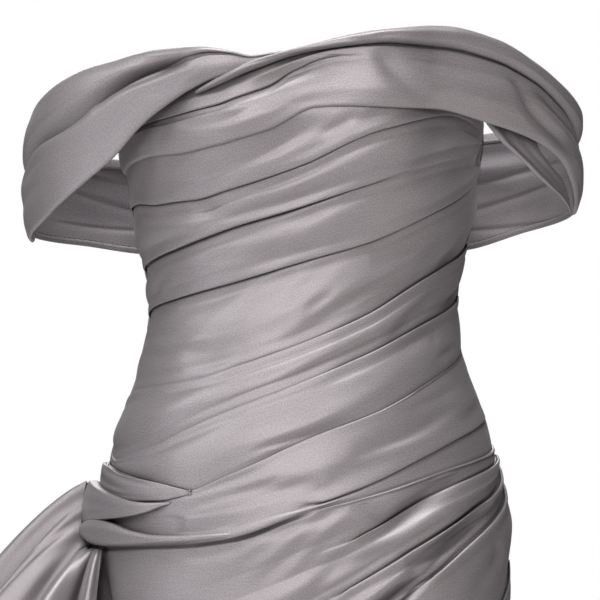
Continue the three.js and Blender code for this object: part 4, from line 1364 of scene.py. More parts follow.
@dataclass
class ShoulderBands:
    """The draped bands round the bust, the arms and the back.

    Each row of a table starts with an angle and the height of the lower edge. In bust the tuck's and the
    upper edge's heights follow, in roll and the two backs the upper edge's height and the puff, and in
    right the crease's and the upper edge's heights and how far the band stands off the loop.
    """

    arm_seam: float = 92
    puff: float = 6
    groove: float = 1.2
    groove_width: float = 0.5
    bust: Table = (
        (-90, 113, 136, 149),
        (-75, 114, 139, 150),
        (-60, 115, 142, 154),
        (-45, 113, 144, 158),
        (-30, 117, 149, 162),
        (-24, 120.5, 154, 168),
        (-12, 128.5, 165, 180.5),
        (-6, 135.2, 174, 185),
        (0, 142.6, 180, 189),
        (4, 145.6, 184, 191),
        (12, 146.8, 188, 194),
        (30, 146.4, 190, 198),
        (45, 147.8, 190, 198),
        (60, 139, 183, 190),
        (70, 130.5, 169, 176),
        (78, 118, 152, 161),
        (83, 104, 140, 149),
        (88, 88, 130, 140),
        (92, 81, 124, 134),
    )
    bust_lift: Sequence[float] = (2, 3, 1.2, 0, 0)
    roll: Table = (
        (-36, 158, 161, 2),
        (-30, 163, 169, 4),
        (-18, 175.5, 184, 6),
        (0, 190, 196, 5),
        (18, 196, 206, 6),
        (30, 198.8, 211, 7),
        (48, 198, 217, 8),
        (60, 191, 210, 8),
        (70, 177, 195, 8),
        (78, 161, 181, 8),
        (84, 148, 173, 8),
        (92, 135, 166, 6),
    )
    right: Table = (
        (-92, 58, 98, 144, 0),
        (-84, 60.5, 113, 163, 1),
        (-78, 66.5, 126, 172, 2),
        (-72, 78.5, 134, 180, 3),
        (-66, 93.5, 146, 187, 2),
        (-60, 110, 161, 191, 1),
        (-54, 131, 172, 195, 2),
        (-48, 144.5, 178, 197, 4),
        (-42, 154.4, 182, 197, 5),
        (-36, 162.6, 185.6, 196.6, 5),
        (-30, 168.4, 188.4, 194.6, 4.4),
        (-24, 172.8, 187.4, 191.2, 3.8),
        (-18, 178.0, 184.6, 187.6, 3.0),
        (-12, 183.0, 186.8, 189.8, 2.0),
        (-6, 186.8, 189.4, 191.8, 0.6),
        (-1, 189.8, 191.2, 192.8, -2.0),
    )
    back_left: Table = (
        (92, 82, 164, 6),
        (105, 75, 163, 6),
        (120, 62, 161, 6),
        (150, 61, 154, 4),
        (180, 62, 150, 1),
    )
    back_right: Table = (
        (-180, 62, 150, 1),
        (-150, 60, 146, 4),
        (-120, 59, 140, 6),
        (-105, 63, 139, 6),
        (-92, 63, 139, 6),
    )
    stay: Table = (
        (80, 87.4, 89.2, 2.5, 2.5),
        (88, 82.6, 88.0, 5, 3),
        (96, 77.6, 85.2, 8, 4),
        (104, 74.0, 82.6, 10, 5),
        (112, 71.2, 78.8, 11, 6.5),
        (121, 68.0, 75.4, 12, 7),
        (127, 65.6, 74.0, 12, 7.5),
        (134, 63.6, 73.4, 12, 8),
        (142, 61.6, 71.6, 12, 9),
        (152, 60.0, 71.0, 12, 10),
    )
    stay_share: Sequence[float] = (
        *(0.03, 0.0, 0.01, 0.05, 0.1, 0.15, 0.2, 0.26, 0.33, 0.4, 0.48),
        *(0.56, 0.64, 0.72, 0.8, 0.87, 0.93, 0.975, 1.0, 0.985, 0.95),
    )
    stay_stand: Sequence[float] = (
        *(-1.2, -0.4, 0.5, 1.4, 1.7, 1.2, 0.4, -0.2, -0.3, 0.0, 0.4),
        *(0.7, 0.9, 1.0, 0.9, 0.7, 0.4, 0.1, -0.4, -0.9, -1.2),
    )
    bust_creases: Sequence[Crease] = (
        Crease(((-19, 162), (-10, 170), (1, 176), (14, 180)), 2.4, 6, 8),
        Crease(((25, 194), (27, 187), (29, 178), (33, 168), (40, 158)), 3.0, 12, 6),
        Crease(((64, 180), (65, 169), (67, 156), (71, 143), (75, 135), (80, 124)), 7.0, 5, 3),
        Crease(((69, 172), (73, 163), (77, 151), (82, 138)), 4.2, 4, 4),
        Crease(((40, 184), (50, 180), (60, 170)), 1.8, 10, 8),
        Crease(((-46, 138), (-37, 134), (-27, 137), (-18, 145), (-8, 154)), 2.2, 6, 5),
        Crease(((-54, 122), (-49, 133), (-45, 140)), 1.8, 8, 6),
        Crease(((-30, 124), (-14, 138), (2, 150), (20, 158)), 1.0, 9, 9),
        Crease(((4, 168), (20, 172), (36, 170)), 0.8, 10, 10),
        Crease(((50, 150), (62, 140), (72, 124), (80, 106)), 1.6, 9, 8),
    )
    roll_creases: Sequence[Crease] = (
        Crease(((13, 200), (21, 199), (27, 203), (34, 205)), 1.4, 2.5, 2.5),
        Crease(((48, 208), (58, 203), (68, 191)), 1.4, 4, 4),
        Crease(((66, 200), (70, 190), (76, 176), (82, 160)), 2.2, 4, 4),
        Crease(((-20, 178), (-8, 186), (4, 193)), 0.9, 2, 2),
    )
    right_creases: Sequence[Crease] = (
        Crease(((-64, 157), (-61, 159), (-56, 167), (-50, 173), (-43, 179), (-36, 184)), 6.5, 8, 3),
        Crease(((-74, 131), (-72, 134), (-67, 143), (-62, 155)), 3.4, 8, 3),
        Crease(((-62, 163), (-61, 151)), 2.0, 3, 3),
        Crease(((-63, 184), (-61, 186), (-55, 189), (-47, 186), (-38, 179)), 1.6, 6, 6),
        Crease(((-72, 102), (-63, 117), (-56, 131), (-51, 143)), 1.5, 8, 8),
        Crease(((-39, 160), (-37, 163), (-33, 168), (-28, 172)), 2.0, 4, 3),
        Crease(((-86, 100), (-80, 112), (-75, 122)), 2.4, 5, 4),
        Crease(((-90, 84), (-82, 92), (-74, 104)), 1.6, 6, 6),
        Crease(((-50, 158), (-42, 164), (-34, 170)), 1.0, 4, 4),
        Crease(((-86, 150), (-80, 160), (-72, 170)), 1.4, 5, 5),
    )
    back_creases: Sequence[Crease] = (
        Crease(((94, 140), (112, 132), (132, 126), (150, 122)), 2.0, 8, 6),
        Crease(((96, 110), (118, 100), (146, 94), (172, 94)), 1.6, 9, 7),
        Crease(((100, 152), (120, 150), (146, 144)), 1.2, 4, 4),
        Crease(((130, 112), (150, 108), (174, 108)), 1.0, 8, 8),
        Crease(((98, 132), (104, 130), (109, 127), (115, 121.6), (124, 116)), -1.6, 1.1, 4.5),
        Crease(((97, 118), (103, 113.4), (110, 106), (117, 99), (128, 94)), -2.2, 1.1, 5.0),
        Crease(((100, 82), (106, 81), (117, 80), (126, 81)), -1.6, 1.1, 4.0),
    )

    def front_of_bust(self) -> Piece:
        """Builds the band across the bust, close on the right and swinging out round the left arm.

        Returns:
            The piece.
        """
        angle = columns(-SIDE, self.arm_seam - BAND_SEAM, 1.0)
        low, tuck, high = (curve(angle) for curve in table_curves(self.bust))
        lift = Curve(LIFT_STATIONS, self.bust_lift)(angle)
        lap = 1 - smoothstep(angle, 0, 24)
        proud = 2.0 * (1 - smoothstep(angle, 0, 36))
        swing = smoothstep(angle, 5, 48)
        puff = self.puff * swing
        rows = Rows(len(angle))
        rows.add(low + 6, -2.4)
        rows.add(low + 1.6, -2.2, 2)
        rows.add(low + 0.1, -1.2, 2)
        rows.add(low + 0.3, -0.2 + proud * 0.6, 2)
        rows.add(low + 1.8, 0.7 + proud + puff * 0.15, 2)
        rows.add(mix(low, tuck, 0.2), 1.2 + proud + puff * 0.5 + lift * 0.1, 4)
        rows.add(mix(low, tuck, 0.4), 1.5 + proud + puff * 0.85 + lift * 0.3, 5)
        rows.add(mix(low, tuck, 0.6), 1.3 + proud + puff * 0.95 + lift * 0.4, 5)
        rows.add(mix(low, tuck, 0.8), 0.8 + proud * 0.7 + puff * 0.8 + lift * 0.4, 5)
        fold = np.clip(lap * 1.6, 0, 1)
        plain = np.linspace(EDGE.offset[1], EDGE.offset[-3], len(EDGE.offset) - 3)
        for flat, offset, share, pocket in zip(plain, EDGE.offset[1:-2], EDGE.lift[1:-2], EDGE.pocket[1:-2]):
            rows.add(tuck + mix(flat, offset, fold) * 0.8, 0.3 + puff * 0.5 + lap * (share * 1.5 - pocket))
        rows.add(mix(tuck + 4, high, 0.45), 0.8 + puff * 0.3 + lap * 1.0, 3)
        rows.add(high - 1.0, 0.1 + puff * 0.05, 4)
        rows.add(high + 3.0, -1.6, 3)
        hidden = smoothstep(angle, -62, -48) * (1 - smoothstep(angle, -38, -27))
        rows.add(high + 7.0 + 10 * hidden, -2.2 - 1.4 * smoothstep(-angle, -10, 10), 4)

        def base(turn: Array, z: Array) -> Array:
            """The bust on the right, and the loop round the arm on the left."""
            close = FIGURE.radius(turn, np.minimum(z, FIGURE.loop_z)) + CLOTH + 0.15
            return mix(close, FIGURE.loop(turn), smoothstep(turn, 5, 48)) + CLOTH

        points = wrapped(angle, rows, base, softened(self.bust_creases, 29, 12, 0.22))
        cut = Cut(0.50, 0.08, Held.FOLDED, ("bodice_front",), 0.034)
        return Piece(shell("bust_wrap", points), "bust_band", cut)

    def neck(self) -> Piece:
        """Builds the soft roll along the neck, turned over to the inside.

        Returns:
            The piece.
        """
        angle = columns(self.roll[0][0], self.arm_seam - BAND_SEAM, 1.0)
        low, high, puff = (curve(angle) for curve in table_curves(self.roll))
        tall = high - low
        rows = Rows(len(angle))
        rows.add(low + 0.5, -1.4)
        rows.add(low - 0.1, -0.3, 2)
        rows.add(low + tall * 0.10, puff * 0.5, 3)
        rows.add(low + tall * 0.32, puff * 0.92, 4)
        rows.add(low + tall * 0.6, puff * 0.92, 4)
        rows.add(low + tall * 0.84, puff * 0.55, 4)
        rows.add(high - 0.6, puff * 0.1, 4)
        rows.add(high, -puff * 0.35, 3)
        rows.add(high - 1.6, -puff * 0.75, 3)
        rows.add(high - tall * 0.5, -puff * 0.85, 3)
        points = wrapped(angle, rows, over_loop(0), softened(self.roll_creases, 31, 8, 0.15))
        cut = Cut(0.34, 0.035, Held.FOLDED, ("bust_band",), 0.0095)
        return Piece(shell("neck_fold", points, ROLLED_WALL), "neck_roll", cut)

    def right_arm(self) -> Piece:
        """Builds the right arm's band in two folds, its top rolled over to the inside.

        The folds lie one over the other at the arm and run together towards the neck.

        Returns:
            The piece.
        """
        angle = columns(BAND_SEAM - self.arm_seam, -1, 0.9)
        low, crease, high, stand = (curve(angle) for curve in table_curves(self.right))
        room = np.clip((high - low) / 30, 0, 1)
        puff = self.puff * room
        step = np.minimum(1, room)
        parted = 1 - smoothstep(angle, -54, -38)
        lip = room * (0.2 + 0.8 * parted)
        rows = Rows(len(angle))
        rows.add(low + 6 * step, -3.0 * room)
        rows.add(low + 1.8 * step, -2.6 * room, 3)
        rows.add(low + 0.2 * step, -1.0 * room, 2)
        rows.add(low + 0.8 * step, 0.6 * room, 2)
        rows.add(mix(low, crease, 0.1), puff * 0.4, 3)
        rows.add(mix(low, crease, 0.32), puff * 0.85, 5)
        rows.add(mix(low, crease, 0.62), puff * 1.0, 6)
        rows.add(mix(low, crease, 0.88), puff * 0.85 + 2.2 * lip, 6)
        rows.add(crease - 1.6 * step, puff * 0.65 + 2.9 * lip, 3)
        rows.add(crease - 0.2 * step, puff * 0.5 + 2.4 * lip, 2)
        rows.add(crease + 0.5 * step, mix(puff * 0.55, puff * 0.2 + 0.6 * room, parted), 2)
        rows.add(crease + 0.5 * step + 0.4 * (1 - parted), mix(puff * 0.5, -3.4 * room, parted), 2)
        rows.add(crease + 2.4 * step, mix(puff * 0.5, -3.2 * room, parted), 2)
        rows.add(mix(crease, high, 0.2), mix(puff * 0.7, -puff * 0.15, parted), 4)
        rows.add(mix(crease, high, 0.45), puff * 1.05, 5)
        rows.add(mix(crease, high, 0.72), puff * 0.85, 5)
        rows.add(mix(crease, high, 0.92), puff * 0.25, 5)
        rows.add(high - 0.1 * step, -puff * 0.35, 4)
        rows.add(high - 1.2 * step, -puff * 0.9, 3)
        rows.add(high - 6 * step, -puff * 1.15, 3)
        relief = creased(self.right_creases)

        def extra(turn: Array, z: Array) -> Array:
            """Creases, shallower where the band narrows, and a faint waviness."""
            return relief(turn, z) * np.clip(room[:, None], 0.2, 1) + ripple(turn, z, 37, 30, 0.2)

        points = wrapped(angle, rows, over_loop(Curve(tuple(angle), tuple(stand))), extra)
        cut = Cut(0.26, 0.12, Held.FOLDED, ("bust_band",), 0.022)
        return Piece(shell("right_arm_wrap", points), "right_arm_band", cut)

    def back(self, side: int) -> Piece:
        """Builds a back half of the bands.

        Args:
            side: 1 for the wearer's left, -1 for the right.

        Returns:
            The piece.
        """
        hand, table = ("left", self.back_left) if side > 0 else ("right", self.back_right)
        ends = sorted((side * 92.04, side * 179.91))
        angle = columns(*ends, FACE_STEP)
        low, high, puff = (curve(angle) for curve in table_curves(table))
        rows = Rows(len(angle))
        rows.add(low + 5, -1.6)
        rows.add(low + 1, -1.3, 2)
        rows.add(low, -0.4, 2)
        rows.add(low + 1.2, 0.2, 2)
        for share in (0.08, 0.2, 0.35, 0.5, 0.65, 0.8, 0.92):
            rows.add(mix(low, high, share), puff * math.sin(math.pi * share), 10)
        rows.add(high - 0.6, puff * 0.05, 3)
        rows.add(high - 0.1, -0.9, 2)
        rows.add(high - 1.4, -1.8, 2)
        rows.add(high - 9, -2.0, 3)
        relief = creased(self.back_creases)

        def base(turn: Array, z: Array) -> Array:
            """The loop, drawn in a little along the zip."""
            groove = self.groove * swell((180 - np.abs(turn)) / self.groove_width)
            return FIGURE.loop(turn) + CLOTH - groove

        def extra(turn: Array, z: Array) -> Array:
            """The same creases on both sides, and a faint waviness."""
            return relief(np.abs(turn), z) + ripple(turn, z, 41 + side, 6, 0.2)

        thing = shell("back_wrap_" + hand, wrapped(angle, rows, base, extra))
        cut = Cut(0.22, 0.10, Held.FOLDED, ("bodice_back_" + hand,), 0.021)
        return Piece(thing, "back_band_" + hand, cut)

    def arm_stay(self) -> Piece:
        """Builds the narrow stay inside the left arm's loop, drawn together at the arm seam.

        Each row of stay holds a height, the angles where the stay starts and stops, and how far inside
        the loop it lies at both.

        Returns:
            The piece.
        """
        level = self.stay[0][0], self.stay[-1][0]
        z = np.linspace(*level, 70)
        start, stop, start_in, stop_in = (curve(z)[None] for curve in table_curves(self.stay))
        share, stand = (np.array(values)[:, None] for values in (self.stay_share, self.stay_stand))
        turn = mix(start, stop, share)
        inset = mix(start_in, stop_in, share)
        tight = smoothstep(z, 82, 104)[None]
        wave = 0.9 * swell((share - 0.62) / 0.12) * tight
        radius = FIGURE.loop(turn) - inset + stand * (0.35 + 0.65 * tight) - wave
        points = place(turn, np.broadcast_to(z, turn.shape), radius)
        cut = Cut(0.085, 0.034, Held.FOLDED, ("bust_band",), 0.0019)
        return Piece(shell("arm_stay", points, 0.7), "left_arm_stay", cut)


# ---------------------------------------------------------------- sewing and zip


class Face:
    """The face of a finished piece of cloth, found along level lines from the gown's axis."""

    reach = 0.6

    def __init__(self, thing: bpy.types.Object, inside: bool) -> None:
        """Prepares the search.

        Args:
            thing: The piece.
            inside: True for its inner face, False for its outer one.
        """
        mesh = thing.data
        faces = [tuple(p.vertices) for p in mesh.polygons]
        self.tree = BVHTree.FromPolygons([v.co[:] for v in mesh.vertices], faces)
        self.inside = inside

    def radius(self, angle: float, z: float) -> float | None:
        """How far from the axis the face is.

        Args:
            angle: The angle round the gown.
            z: The height.

        Returns:
            The distance in millimetres, or None where there is no cloth.
        """
        outward = Vector(place(np.array(angle), np.array(0.0), np.array(1.0)))
        level = Vector((0, 0, z * MM))
        start, way = (level, outward) if self.inside else (level + outward * self.reach, -outward)
        spot = self.tree.ray_cast(start, way, self.reach)[0]
        return None if spot is None else math.hypot(spot.x, spot.y) / MM


@dataclass(frozen=True)
class StitchRow:
    """A row of small hand stitches along a line of heights."""

    name: str
    piece: str
    inside: bool
    line: Points
    pitch: float = 7.0
    length: float = 3.0
    half: float = 0.32
    sides: int = 6
    taper: float = 0.22

    def build(self, things: dict[str, bpy.types.Object]) -> Piece:
        """Lays the stitches on the cloth.

        Args:
            things: The finished pieces by name.

        Returns:
            One piece of separate closed stitches.
        """
        face = Face(things[self.piece], self.inside)
        angles, heights = (np.asarray(v, float) for v in zip(*self.line))
        fine = np.linspace(angles[0], angles[-1], 400)
        level = Curve(tuple(angles), tuple(heights))(fine)
        found = [(t, z, face.radius(t, z)) for t, z in zip(fine, level)]
        spots = place(*np.array([row for row in found if row[2] is not None]).T)
        along = np.concatenate([[0], np.cumsum(np.linalg.norm(np.diff(spots, axis=0), axis=1))])
        verts: list[Spot] = []
        faces: list[tuple[int, ...]] = []
        for at in np.arange(self.pitch, along[-1] - self.pitch, self.pitch):
            start, end = (
                np.array([np.interp(spot, along, spots[:, k]) for k in range(3)])
                for spot in (at, at + self.length)
            )
            self.bead(start, end, verts, faces)
        return Piece(solid_mesh(self.name, verts, faces))

    def bead(self, start: Array, end: Array, verts: list[Spot], faces: list[tuple[int, ...]]) -> None:
        """Adds one stitch: a short thread with pointed ends.

        Args:
            start: Where it comes out of the cloth.
            end: Where it goes in again.
            verts: The points so far, which it adds to.
            faces: The faces so far, which it adds to.
        """
        way = (end - start) / max(np.linalg.norm(end - start), TINY)
        side = np.cross(way, (0, 0, 1))
        side /= max(np.linalg.norm(side), TINY)
        up = np.cross(side, way)
        first, n = len(verts), self.sides
        verts.append(tuple(start))
        for share in (self.taper, 1 - self.taper):
            for turn in np.arange(n) * 2 * math.pi / n:
                round_it = math.cos(turn) * side + math.sin(turn) * up
                verts.append(tuple(mix(start, end, share) + self.half * round_it))
        verts.append(tuple(end))
        for k in range(n):
            a, b = first + 1 + k, first + 1 + (k + 1) % n
            faces += [(first, b, a), (a, b, b + n, a + n), (a + n, b + n, first + 2 * n + 1)]


STITCHES = (
    StitchRow("hem_stitches_front", "front_skirt", False, ((-88, -1032), (88, -1032)), 9),
    StitchRow("hem_stitches_back", "back_skirt", False, ((92, -1032), (268, -1032)), 9),
    StitchRow(
        "band_stitches_left",
        "back_wrap_left",
        True,
        ((93, 87.5), (105, 81), (120, 68), (150, 67), (178, 68)),
        5,
        3.2,
    ),
    StitchRow(
        "band_stitches_right",
        "back_wrap_right",
        True,
        ((-178, 68), (-150, 66), (-120, 65), (-105, 69), (-93, 69)),
        5,
        3.2,
    ),
)


@dataclass(frozen=True)
class ConcealedZip:
    """The coil and tapes of the zip, inside the centre back.

    slit and tape_start are degrees from the centre back, and tape_round is the millimetres in a degree there.
    """

    low: float = -130
    high: float = 128
    pitch: float = 1.6
    stagger: float = 0.45
    slit: float = 1.3
    inset: float = 1.1
    coil: Spot = (0.75, 0.55, 0.5)
    tape: float = 10.5
    tape_start: float = 1.4
    tape_round: float = 1.45
    tape_wall: float = 0.4
    behind: float = 0.25
    below: float = 2
    above: float = 4
    box_faces: Sequence[tuple[int, ...]] = (
        (0, 1, 3, 2),
        (4, 6, 7, 5),
        (0, 4, 5, 1),
        (2, 3, 7, 6),
        (0, 2, 6, 4),
        (1, 5, 7, 3),
    )

    def build(self, things: dict[str, bpy.types.Object]) -> list[Piece]:
        """Builds the coil and the tape on each side.

        Args:
            things: The finished pieces by name.

        Returns:
            The pieces.
        """
        left, right = (Face(things["back_bodice_" + hand], True) for hand in ("left", "right"))
        return [self.teeth(left, right), self.woven(left, "left", 1), self.woven(right, "right", -1)]

    def teeth(self, left: Face, right: Face) -> Piece:
        """Builds the two interleaved rows of coil, just inside the slit.

        Args:
            left: The inside of the left back bodice.
            right: The inside of the right one.

        Returns:
            The piece.
        """
        verts: list[Spot] = []
        quads: list[tuple[int, ...]] = []
        corners = [(a, b, c) for a in (-1, 1) for b in (-1, 1) for c in (-1, 1)]
        for k in range(int((self.high - self.low) / self.pitch)):
            z = self.low + k * self.pitch
            found = (left.radius(180 - self.slit, z), right.radius(180 + self.slit, z))
            radius = min(r for r in found if r is not None) - self.inset
            middle = Vector(place(np.array(180.0), np.array(z), np.array(radius)))
            middle.x += self.stagger * (1 if k % 2 else -1)
            first = len(verts)
            for corner in corners:
                verts.append(tuple(m + c * half for m, c, half in zip(middle, corner, self.coil)))
            quads += [tuple(first + v for v in quad) for quad in self.box_faces]
        return Piece(solid_mesh("zip_coil", verts, quads))

    def woven(self, face: Face, hand: str, side: int) -> Piece:
        """Builds the woven tape on one side.

        Args:
            face: The inside of that side's back bodice.
            hand: "left" or "right", the wearer's.
            side: 1 for the left, -1 for the right.

        Returns:
            The piece.
        """
        turns = 180 - side * np.linspace(self.tape_start, self.tape_start + self.tape / self.tape_round, 7)
        levels = np.linspace(self.low - self.below, self.high + self.above, 70)
        grid = np.array([[face.radius(t, z) or 0 for z in levels] for t in turns])
        grid = np.where(grid > 0, grid, np.median(grid[grid > 0])) - self.behind
        grid = np.minimum.reduce([grid, np.roll(grid, 1, 1), np.roll(grid, -1, 1)])
        grid[:, 0], grid[:, -1] = grid[:, 1], grid[:, -2]
        points = place(turns[:, None] + 0 * grid, levels[None] + 0 * grid, grid)
        thing = shell("zip_tape_" + hand, points[::-side], self.tape_wall)
        length = self.high + self.above - self.low + self.below
        return Piece(thing, cut=Cut(self.tape * MM, length * MM, Held.HUNG, ("bodice_back_" + hand,)))


# ---------------------------------------------------------------- finishes


class Signal:
    """A shader socket that takes part in sums; values go through Math nodes."""

    def __init__(self, tree: bpy.types.NodeTree, socket: bpy.types.NodeSocket) -> None:
        """Wraps a socket.

        Args:
            tree: The node tree that it is in.
            socket: The output socket.
        """
        self.tree = tree
        self.socket = socket

    def math(self, operation: str, *values: "Signal | float") -> "Signal":
        """Adds a Math node.

        Args:
            operation: What it does.
            values: Its inputs.

        Returns:
            Its result.
        """
        return add_node(self.tree, "ShaderNodeMath", {"operation": operation}, dict(enumerate(values)))

    def __add__(self, other: "Signal | float") -> "Signal":
        """The sum."""
        return self.math("ADD", self, other)

    __radd__ = __add__

    def __sub__(self, other: "Signal | float") -> "Signal":
        """The difference."""
        return self.math("SUBTRACT", self, other)

    def __rsub__(self, other: float) -> "Signal":
        """The difference from a number."""
        return self.math("SUBTRACT", other, self)

    def __mul__(self, other: "Signal | float") -> "Signal":
        """The product."""
        return self.math("MULTIPLY", self, other)

    __rmul__ = __mul__


def add_node(
    tree: bpy.types.NodeTree,
    kind: str,
    settings: dict[str, object] | None = None,
    sockets: dict[str | int, object] | None = None,
    output: str | int = 0,
) -> Signal:
    """Adds a node.

    Args:
        tree: The tree that it goes in.
        kind: The node's type.
        settings: Its own settings, set first.
        sockets: Values or signals by input name or place.
        output: Which output is wanted.

    Returns:
        That output.
    """
    node = tree.nodes.new(kind)
    for name, value in (settings or {}).items():
        setattr(node, name, value)
    for key, value in (sockets or {}).items():
        socket = node.inputs[key]
        if isinstance(value, Signal):
            tree.links.new(value.socket, socket)
        else:
            socket.default_value = value
    return Signal(tree, node.outputs[output])


@dataclass(frozen=True)
class Finish:
    """A material on a Principled shader; its steady values are set by input name."""

    name: str
    steady: dict[str, object]

    def start(self) -> tuple[bpy.types.Material, bpy.types.Node]:
        """Makes the material with its steady values.

        Returns:
            The material and its Principled shader.
        """
        material = bpy.data.materials.new(self.name)
        material.use_nodes = True
        shader = node_of(material.node_tree, "BSDF_PRINCIPLED")
        for name, value in self.steady.items():
            shader.inputs[name].default_value = value
        return material, shader


def node_of(tree: bpy.types.NodeTree, kind: str) -> bpy.types.Node:
    """The first node of a kind in a tree."""
    return next(node for node in tree.nodes if node.type == kind)


def blend(tree: bpy.types.NodeTree, share: Signal, first: object, second: object) -> Signal:
    """Mixes two colours, or signals of colours."""
    sockets = {"Factor": share, "A": first, "B": second}
    return add_node(tree, "ShaderNodeMix", {"data_type": "RGBA"}, sockets, "Result")


def stretched(source: Signal, scale: Spot) -> Signal:
    """Coordinates times a scale."""
    return add_node(source.tree, "ShaderNodeVectorMath", {"operation": "MULTIPLY"}, {0: source, 1: scale})


def noise(at: Signal, scale: float, detail: float) -> Signal:
    """Smooth noise from 0 to 1 at coordinates."""
    return add_node(at.tree, "ShaderNodeTexNoise", {}, {"Vector": at, "Scale": scale, "Detail": detail})


def dress(shader: bpy.types.Node, inputs: dict[str, Signal]) -> None:
    """Joins signals to a shader's inputs by name."""
    for name, signal in inputs.items():
        signal.tree.links.new(signal.socket, shader.inputs[name])


@dataclass(frozen=True)
class Satin:
    """Heavy silver-taupe satin: fine long threads, a soft sheen and faint cloudy variation.

    Painted shade: close to another ply, within a set reach in metres, an ambient occlusion node darkens its
    base colour to the pocket colour, shade painted into creases, folds and pockets.
    """

    light: Color = (0.452, 0.407, 0.419, 1)
    dark: Color = (0.244, 0.218, 0.225, 1)
    # painted shade: the near-black colour that creases, folds and pockets darken to
    pocket: Color = (0.05, 0.042, 0.042, 1)
    painted_shade_reach: float = 0.026
    roughness: float = 0.46
    bump: float = 0.4
    bump_height: float = 0.00016
    sheen: float = 0.1
    sheen_roughness: float = 0.45
    shine: float = 0.7
    metal: float = 0.45

    def material(self) -> bpy.types.Material:
        """Makes the material.

        Returns:
            The material.
        """
        steady = {
            "Sheen Weight": self.sheen,
            "Sheen Roughness": self.sheen_roughness,
            "Specular IOR Level": self.shine,
            "Metallic": self.metal,
        }
        material, shader = Finish("satin", steady).start()
        tree = material.node_tree
        thread = add_node(tree, "ShaderNodeAttribute", {"attribute_name": "thread"}, output="Vector")
        spot = add_node(tree, "ShaderNodeTexCoord", output="Object")
        warp = noise(stretched(thread, (420, 3600, 1)), 1, 2)
        weft = noise(stretched(thread, (2600, 520, 1)), 1, 1)
        slub = noise(stretched(thread, (60, 900, 1)), 1, 3)
        speck = noise(stretched(thread, (820, 1000, 1)), 1, 1)
        cloud = noise(spot, 7, 3)
        grain = 0.6 * warp + 0.4 * weft
        tone = 0.5 + 0.25 * (cloud - 0.5) + 0.45 * (slub - 0.5) + 1.7 * (speck - 0.5) + 0.3 * (grain - 0.5)
        cloth = blend(tree, tone, self.dark, self.light)
        reach = {"Distance": self.painted_shade_reach}
        # Painted shade: occlusion blends the base colour towards the pocket colour in creases, folds and
        # pockets.
        clear = add_node(tree, "ShaderNodeAmbientOcclusion", {"samples": 6}, reach, "AO")
        height = {
            "Strength": self.bump,
            "Distance": self.bump_height,
            "Height": grain + 0.5 * slub + 0.8 * speck,
        }
        inputs = {
            "Base Color": blend(tree, clear, self.pocket, cloth),
            "Roughness": self.roughness + 0.10 * (cloud - 0.5) + 0.16 * (speck - 0.5),
            "Normal": add_node(tree, "ShaderNodeBump", {}, height),
        }
        dress(shader, inputs)
        return material


@dataclass(frozen=True)
class Nickel:
    """Satin nickel of the zip, brushed and a little rubbed."""

    color: Color = (0.56, 0.54, 0.52, 1)
    bump: float = 0.2
    bump_height: float = 0.00005

    def material(self) -> bpy.types.Material:
        """Makes the material.

        Returns:
            The material.
        """
        material, shader = Finish("nickel", {"Base Color": self.color, "Metallic": 1}).start()
        tree = material.node_tree
        spot = add_node(tree, "ShaderNodeTexCoord", output="Object")
        brushed = noise(stretched(spot, (5200, 5200, 500)), 1, 2)
        height = {"Strength": self.bump, "Distance": self.bump_height, "Height": brushed}
        rough = 0.22 + 0.2 * brushed
        dress(shader, {"Roughness": rough, "Normal": add_node(tree, "ShaderNodeBump", {}, height)})
        return material


@dataclass(frozen=True)
class Paper:
    """The studio's pale paper floor, lit a little from within where the camera sees it."""

    color: Color = (0.82, 0.82, 0.82, 1)
    roughness: float = 0.9
    glow: float = 0.86
    share: float = 0.72

    def material(self) -> bpy.types.Material:
        """Makes the material.

        Returns:
            The material.
        """
        steady = {"Base Color": self.color, "Roughness": self.roughness}
        material, shader = Finish("paper", steady).start()
        tree = material.node_tree
        seen = add_node(tree, "ShaderNodeLightPath", output="Is Camera Ray")
        glow = add_node(tree, "ShaderNodeEmission", {}, {"Color": WHITE, "Strength": self.glow})
        lit = Signal(tree, shader.outputs["BSDF"])
        both = add_node(tree, "ShaderNodeMixShader", {}, {0: self.share * seen, 1: lit, 2: glow})
        dress(node_of(tree, "OUTPUT_MATERIAL"), {"Surface": both})
        return material


# ---------------------------------------------------------------- studio


@dataclass(frozen=True)
class Lamp:
    """A soft rectangular light."""

    name: str
    at: Spot
    aim: Spot
    size: tuple[float, float]
    power: float
    color: Spot

    def build(self) -> None:
        """Hangs the light."""
        data = bpy.data.lights.new(self.name, "AREA")
        data.shape = "RECTANGLE"
        data.size, data.size_y = self.size
        data.energy = self.power
        data.color = self.color
        lamp = bpy.data.objects.new(self.name, data)
        lamp.location = self.at
        lamp.rotation_euler = (Vector(self.aim) - Vector(self.at)).to_track_quat("-Z", "Y").to_euler()
        bpy.context.collection.objects.link(lamp)


